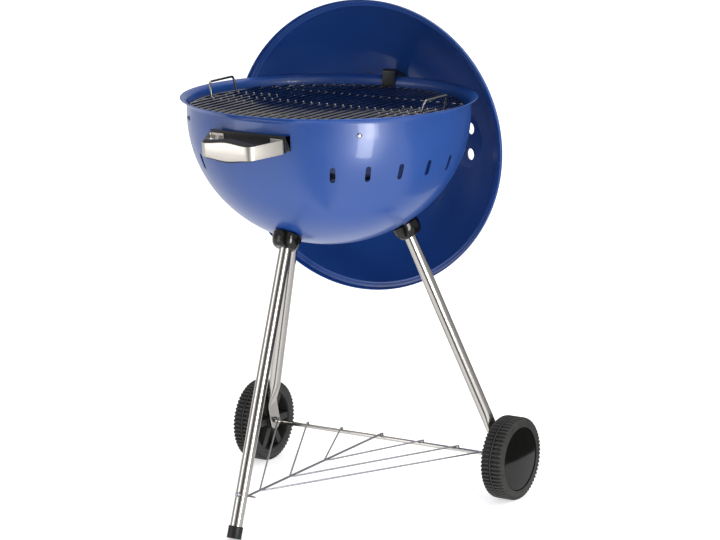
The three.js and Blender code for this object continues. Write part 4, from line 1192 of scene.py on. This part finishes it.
def hook_rivet(height):
    """Round rivet that holds the hook to the dome."""
    at, out = hook_seat(height)
    head, tail = SHEET + GAP, -HOOK_THICK - 4.6
    rivet = lathe(outline([
        (0, tail - 2, 0), (4, tail - 2, 1.4), (4, tail, 0.2), (2.4, tail, 0), (2.4, head, 0), (5, head, 0.3),
        (4.6, head + 2.4, 1.6), (0, head + 2.4, 0),
    ], 4), 32)
    return smooth(aimed(rivet, at, out))


# ---------- the pieces ----------
show("bowl", bowl())
for i, degrees in enumerate(SUPPORT_ANGLES):
    show(f"grate_support_{i + 1}", grate_support(degrees))
    place = around(degrees, WALL + GAP, SUPPORT_SCREW_Z)
    bolt = screw(head=5, height=3, shank=2.3, length=12)
    show(f"support_screw_{i + 1}", aimed(bolt, place, around(degrees, 1, 0)))
show("leg_front", front_leg())
show("leg_rear_right", rear_leg(1))
show("leg_rear_left", rear_leg(-1))
for name, (seat, out) in SEATS.items():
    show("leg_socket_" + name, leg_socket(name))
    inwards = -LEG_LINES[name]
    bolt = screw(head=9, height=5, shank=3.8, length=30)
    show("leg_bolt_" + name, aimed(bolt, seat + inwards * (SHEET + 4), inwards))
show("foot_cap", foot_cap())
show("axle", axle())
for side, name in ((1, "right"), (-1, "left")):
    show("wheel_" + name, wheel(side))
    show("hub_cap_" + name, hub_cap(side))
    show("push_nut_" + name, push_nut(side))
show("wire_rack", wire_rack())
show("rack_nut", rack_nut())
show("cooking_grate", cooking_grate())
show("charcoal_grate", charcoal_grate())
handle_on_bowl = Matrix.Translation((0, -HANDLE_FACE, HANDLE_Z)) @ Matrix.Rotation(HANDLE_TILT, 4, "X")
show_handle("bowl_handle", handle_on_bowl, behind_bowl_plate, behind_bowl_nut)
show("lid_shell", lid_shell(), LID_SPACE)
show("lid_damper", lid_damper(), LID_SPACE)
show("damper_pivot", damper_pivot(), LID_SPACE)
show("lid_hook", lid_hook(), LID_SPACE)
for i, height in enumerate(RIVETS):
    show(f"hook_rivet_{i + 1}", hook_rivet(height), LID_SPACE)
far_side = dome_depth(0) + SHEET + LID_HANDLE_FACE
lid_back = Matrix.Translation((0, far_side, 0)) @ Matrix.Rotation(math.pi, 4, "Z")
handle_on_lid = LID_TURNED @ lid_back
show_handle("lid_handle", handle_on_lid, behind_lid_plate, behind_lid_nut)


# ---------- studio ----------
CAMERA_AZIMUTH, CAMERA_DISTANCE, CAMERA_HEIGHT = 33.149, 6.9628, 1.9142
CAMERA_YAW, CAMERA_PITCH, CAMERA_ROLL = -0.503, -11.640, -0.175
CAMERA_LENS, CAMERA_SENSOR = 176.0, 36.0
# brightness of the room by direction, in degrees clockwise from the camera
ROOM_BANDS = (
    (-180, 0.55), (-115, 0.45), (-75, 0.65), (-46, 0.75), (-32, 0.5), (-20, 0.06), (-6, 0.06), (4, 0.4),
    (15, 0.8), (35, 0.7), (60, 0.55), (85, 0.5), (115, 0.35),
)
FLOOR_REACH = 40
FLOOR_GLOW = 0.3
# painted reflection: glossy rays see the floor glow with the room's brightness up to a line behind the right
# wheel, and dim beyond it
REFLECTION_WAY = Vector((0.95, 0.3, 0))  # square to that line
REFLECTION_EDGE = 0.6
REFLECTION_FADE = (0.2, 0.4)  # the line fades in between these depths
REFLECTION_GLOW, REFLECTION_DARK = 2.0, 0.15  # brightness before and beyond it


def seen_from(azimuth, distance, height):
    """Point round the bowl axis in metres; azimuth 0 is in front, +90 is +X."""
    turn = math.radians(azimuth)
    return HOME + Vector((distance * math.sin(turn), -distance * math.cos(turn), height))


def camera():
    """Long lens at the height of a standing person, looking slightly down."""
    data = bpy.data.cameras.new("camera")
    data.lens = CAMERA_LENS
    data.sensor_width = CAMERA_SENSOR
    data.clip_end = 200
    thing = put("camera", data)
    turn = math.radians(CAMERA_AZIMUTH + CAMERA_YAW)
    tilt = math.radians(CAMERA_PITCH)
    ahead = Vector((-math.sin(turn) * math.cos(tilt), math.cos(turn) * math.cos(tilt), math.sin(tilt)))
    roll = Matrix.Rotation(math.radians(CAMERA_ROLL), 4, "Z")
    thing.matrix_world = (
        Matrix.Translation(seen_from(CAMERA_AZIMUTH, CAMERA_DISTANCE, CAMERA_HEIGHT))
        @ ahead.to_track_quat("-Z", "Y").to_matrix().to_4x4() @ roll
    )
    bpy.context.scene.camera = thing


def softbox(name, azimuth, distance, height, width, tall, power, aim=0.6, diffuse=True):
    """Rectangular lamp that faces the barbecue and isn't seen itself."""
    data = bpy.data.lights.new(name, "AREA")
    data.shape = "RECTANGLE"
    data.size, data.size_y = width, tall
    data.energy = power
    lamp = put(name, data)
    lamp.location = seen_from(azimuth, distance, height)
    lamp.rotation_euler = (HOME + Z * aim - lamp.location).to_track_quat("-Z", "Y").to_euler()
    lamp.visible_camera = False
    lamp.visible_diffuse = diffuse


def room_level(tree, direction):
    """Brightness of the room in a direction."""
    # the gradient is 0.5 towards the camera, and 0 and 1 on the far side
    turn = (0, 0, math.radians(90 - CAMERA_AZIMUTH))
    compass = add(tree, "Mapping", {"Vector": direction, "Rotation": turn}).outputs["Vector"]
    gradient = add(tree, "TexGradient", {"Vector": compass}, gradient_type="RADIAL")
    bands = add(tree, "ValToRGB", {"Fac": gradient.outputs["Fac"]})
    elements = bands.color_ramp.elements
    elements.remove(elements[0])
    elements[0].color = (*[ROOM_BANDS[0][1]] * 3, 1)
    for degrees, level in ROOM_BANDS:
        elements.new((degrees + 180) / 360).color = (level, level, level, 1)
    return bands.outputs["Color"]


def sky():
    """Pale room, dim just behind the camera, so that metal shows contrast; the camera sees white."""
    world = bpy.data.worlds.new("room")
    bpy.context.scene.world = world
    world.use_nodes = True
    tree = world.node_tree
    ray = add(tree, "LightPath", {}).outputs["Is Camera Ray"]
    direction = add(tree, "TexCoord", {}).outputs["Generated"]
    room = add(tree, "Background", {"Color": room_level(tree, direction)}).outputs["Background"]
    white = add(tree, "Background", {"Color": (1, 1, 1, 1)}).outputs["Background"]
    mix = add(tree, "MixShader", {0: ray, 1: room, 2: white})
    tree.links.new(mix.outputs["Shader"], tree.nodes["World Output"].inputs["Surface"])


def sun():
    """Large soft light from above."""
    data = bpy.data.lights.new("overhead", "SUN")
    data.energy = 1.35
    data.angle = math.radians(70)
    put("overhead", data).rotation_euler = (math.radians(-8), math.radians(10), 0)


def painted_floor_reflection(tree):
    """Painted reflection on the floor, seen only by glossy rays: the room's brightness as a glow, up to a
    line behind the right wheel.
    """
    place = add(tree, "NewGeometry", {}).outputs
    onward = add(tree, "VectorMath", {0: place["Incoming"], "Scale": -1}, operation="SCALE")
    across = add(tree, "VectorMath", {0: place["Position"], 1: REFLECTION_WAY}, operation="DOT_PRODUCT")
    ends = {"From Min": REFLECTION_EDGE, "From Max": REFLECTION_EDGE + 0.01}
    beyond = add(tree, "MapRange", {"Value": across.outputs["Value"], **ends}).outputs["Result"]
    depth = add(tree, "SeparateXYZ", {"Vector": place["Position"]}).outputs["Y"]
    ends = {"From Min": REFLECTION_FADE[0], "From Max": REFLECTION_FADE[1], "To Max": REFLECTION_DARK - REFLECTION_GLOW}
    behind = add(tree, "MapRange", {"Value": depth, **ends}).outputs["Result"]
    level = add(tree, "Math", {0: beyond, 1: behind, 2: REFLECTION_GLOW}, operation="MULTIPLY_ADD")
    colour = room_level(tree, onward.outputs["Vector"])
    return add(tree, "Emission", {"Color": colour, "Strength": level.outputs["Value"]}).outputs["Emission"]


def floor():
    """Plain pale floor that glows a little, and more where the camera sees it; glossy rays see a painted
    reflection on it instead.
    """
    bm = bmesh.new()
    bm.faces.new([
        bm.verts.new((x * FLOOR_REACH, y * FLOOR_REACH, 0)) for x, y in ((-1, -1), (1, -1), (1, 1), (-1, 1))
    ])
    plane = put("floor", finished(bm))
    look = Finish("pale_floor", (0.85, 0.85, 0.85), roughness=0.7, emission_color=(1, 1, 1, 1))
    look.tint(look.pattern(0.8, 2), 0.995, 1.0)
    tree = look.tree
    path = add(tree, "LightPath", {}).outputs
    shares = {0: path["Is Camera Ray"], 1: FLOOR_GLOW, 2: FLOOR_GLOW}
    look.plug(add(tree, "Math", shares, operation="MULTIPLY_ADD").outputs["Value"], "Emission Strength")
    lit = tree.nodes["Principled BSDF"].outputs["BSDF"]
    # glossy rays get the painted reflection instead of the lit floor
    mix = add(tree, "MixShader", {0: path["Is Glossy Ray"], 1: lit, 2: painted_floor_reflection(tree)})
    tree.links.new(mix.outputs["Shader"], tree.nodes["Material Output"].inputs["Surface"])
    plane.data.materials.append(look.material)


camera()
sky()
sun()
floor()
softbox("left_box", azimuth=-32, distance=2.6, height=0.7, width=1.2, tall=1.9, power=15, diffuse=False)
softbox("right_box", azimuth=66.3, distance=2.6, height=0.9, width=0.45, tall=1.5, power=20)
softbox("glint", 59.8, distance=1.25, height=0.45, width=0.26, tall=0.6, power=6.5, aim=0.5, diffuse=False)
bpy.context.scene.view_settings.view_transform = "Standard"
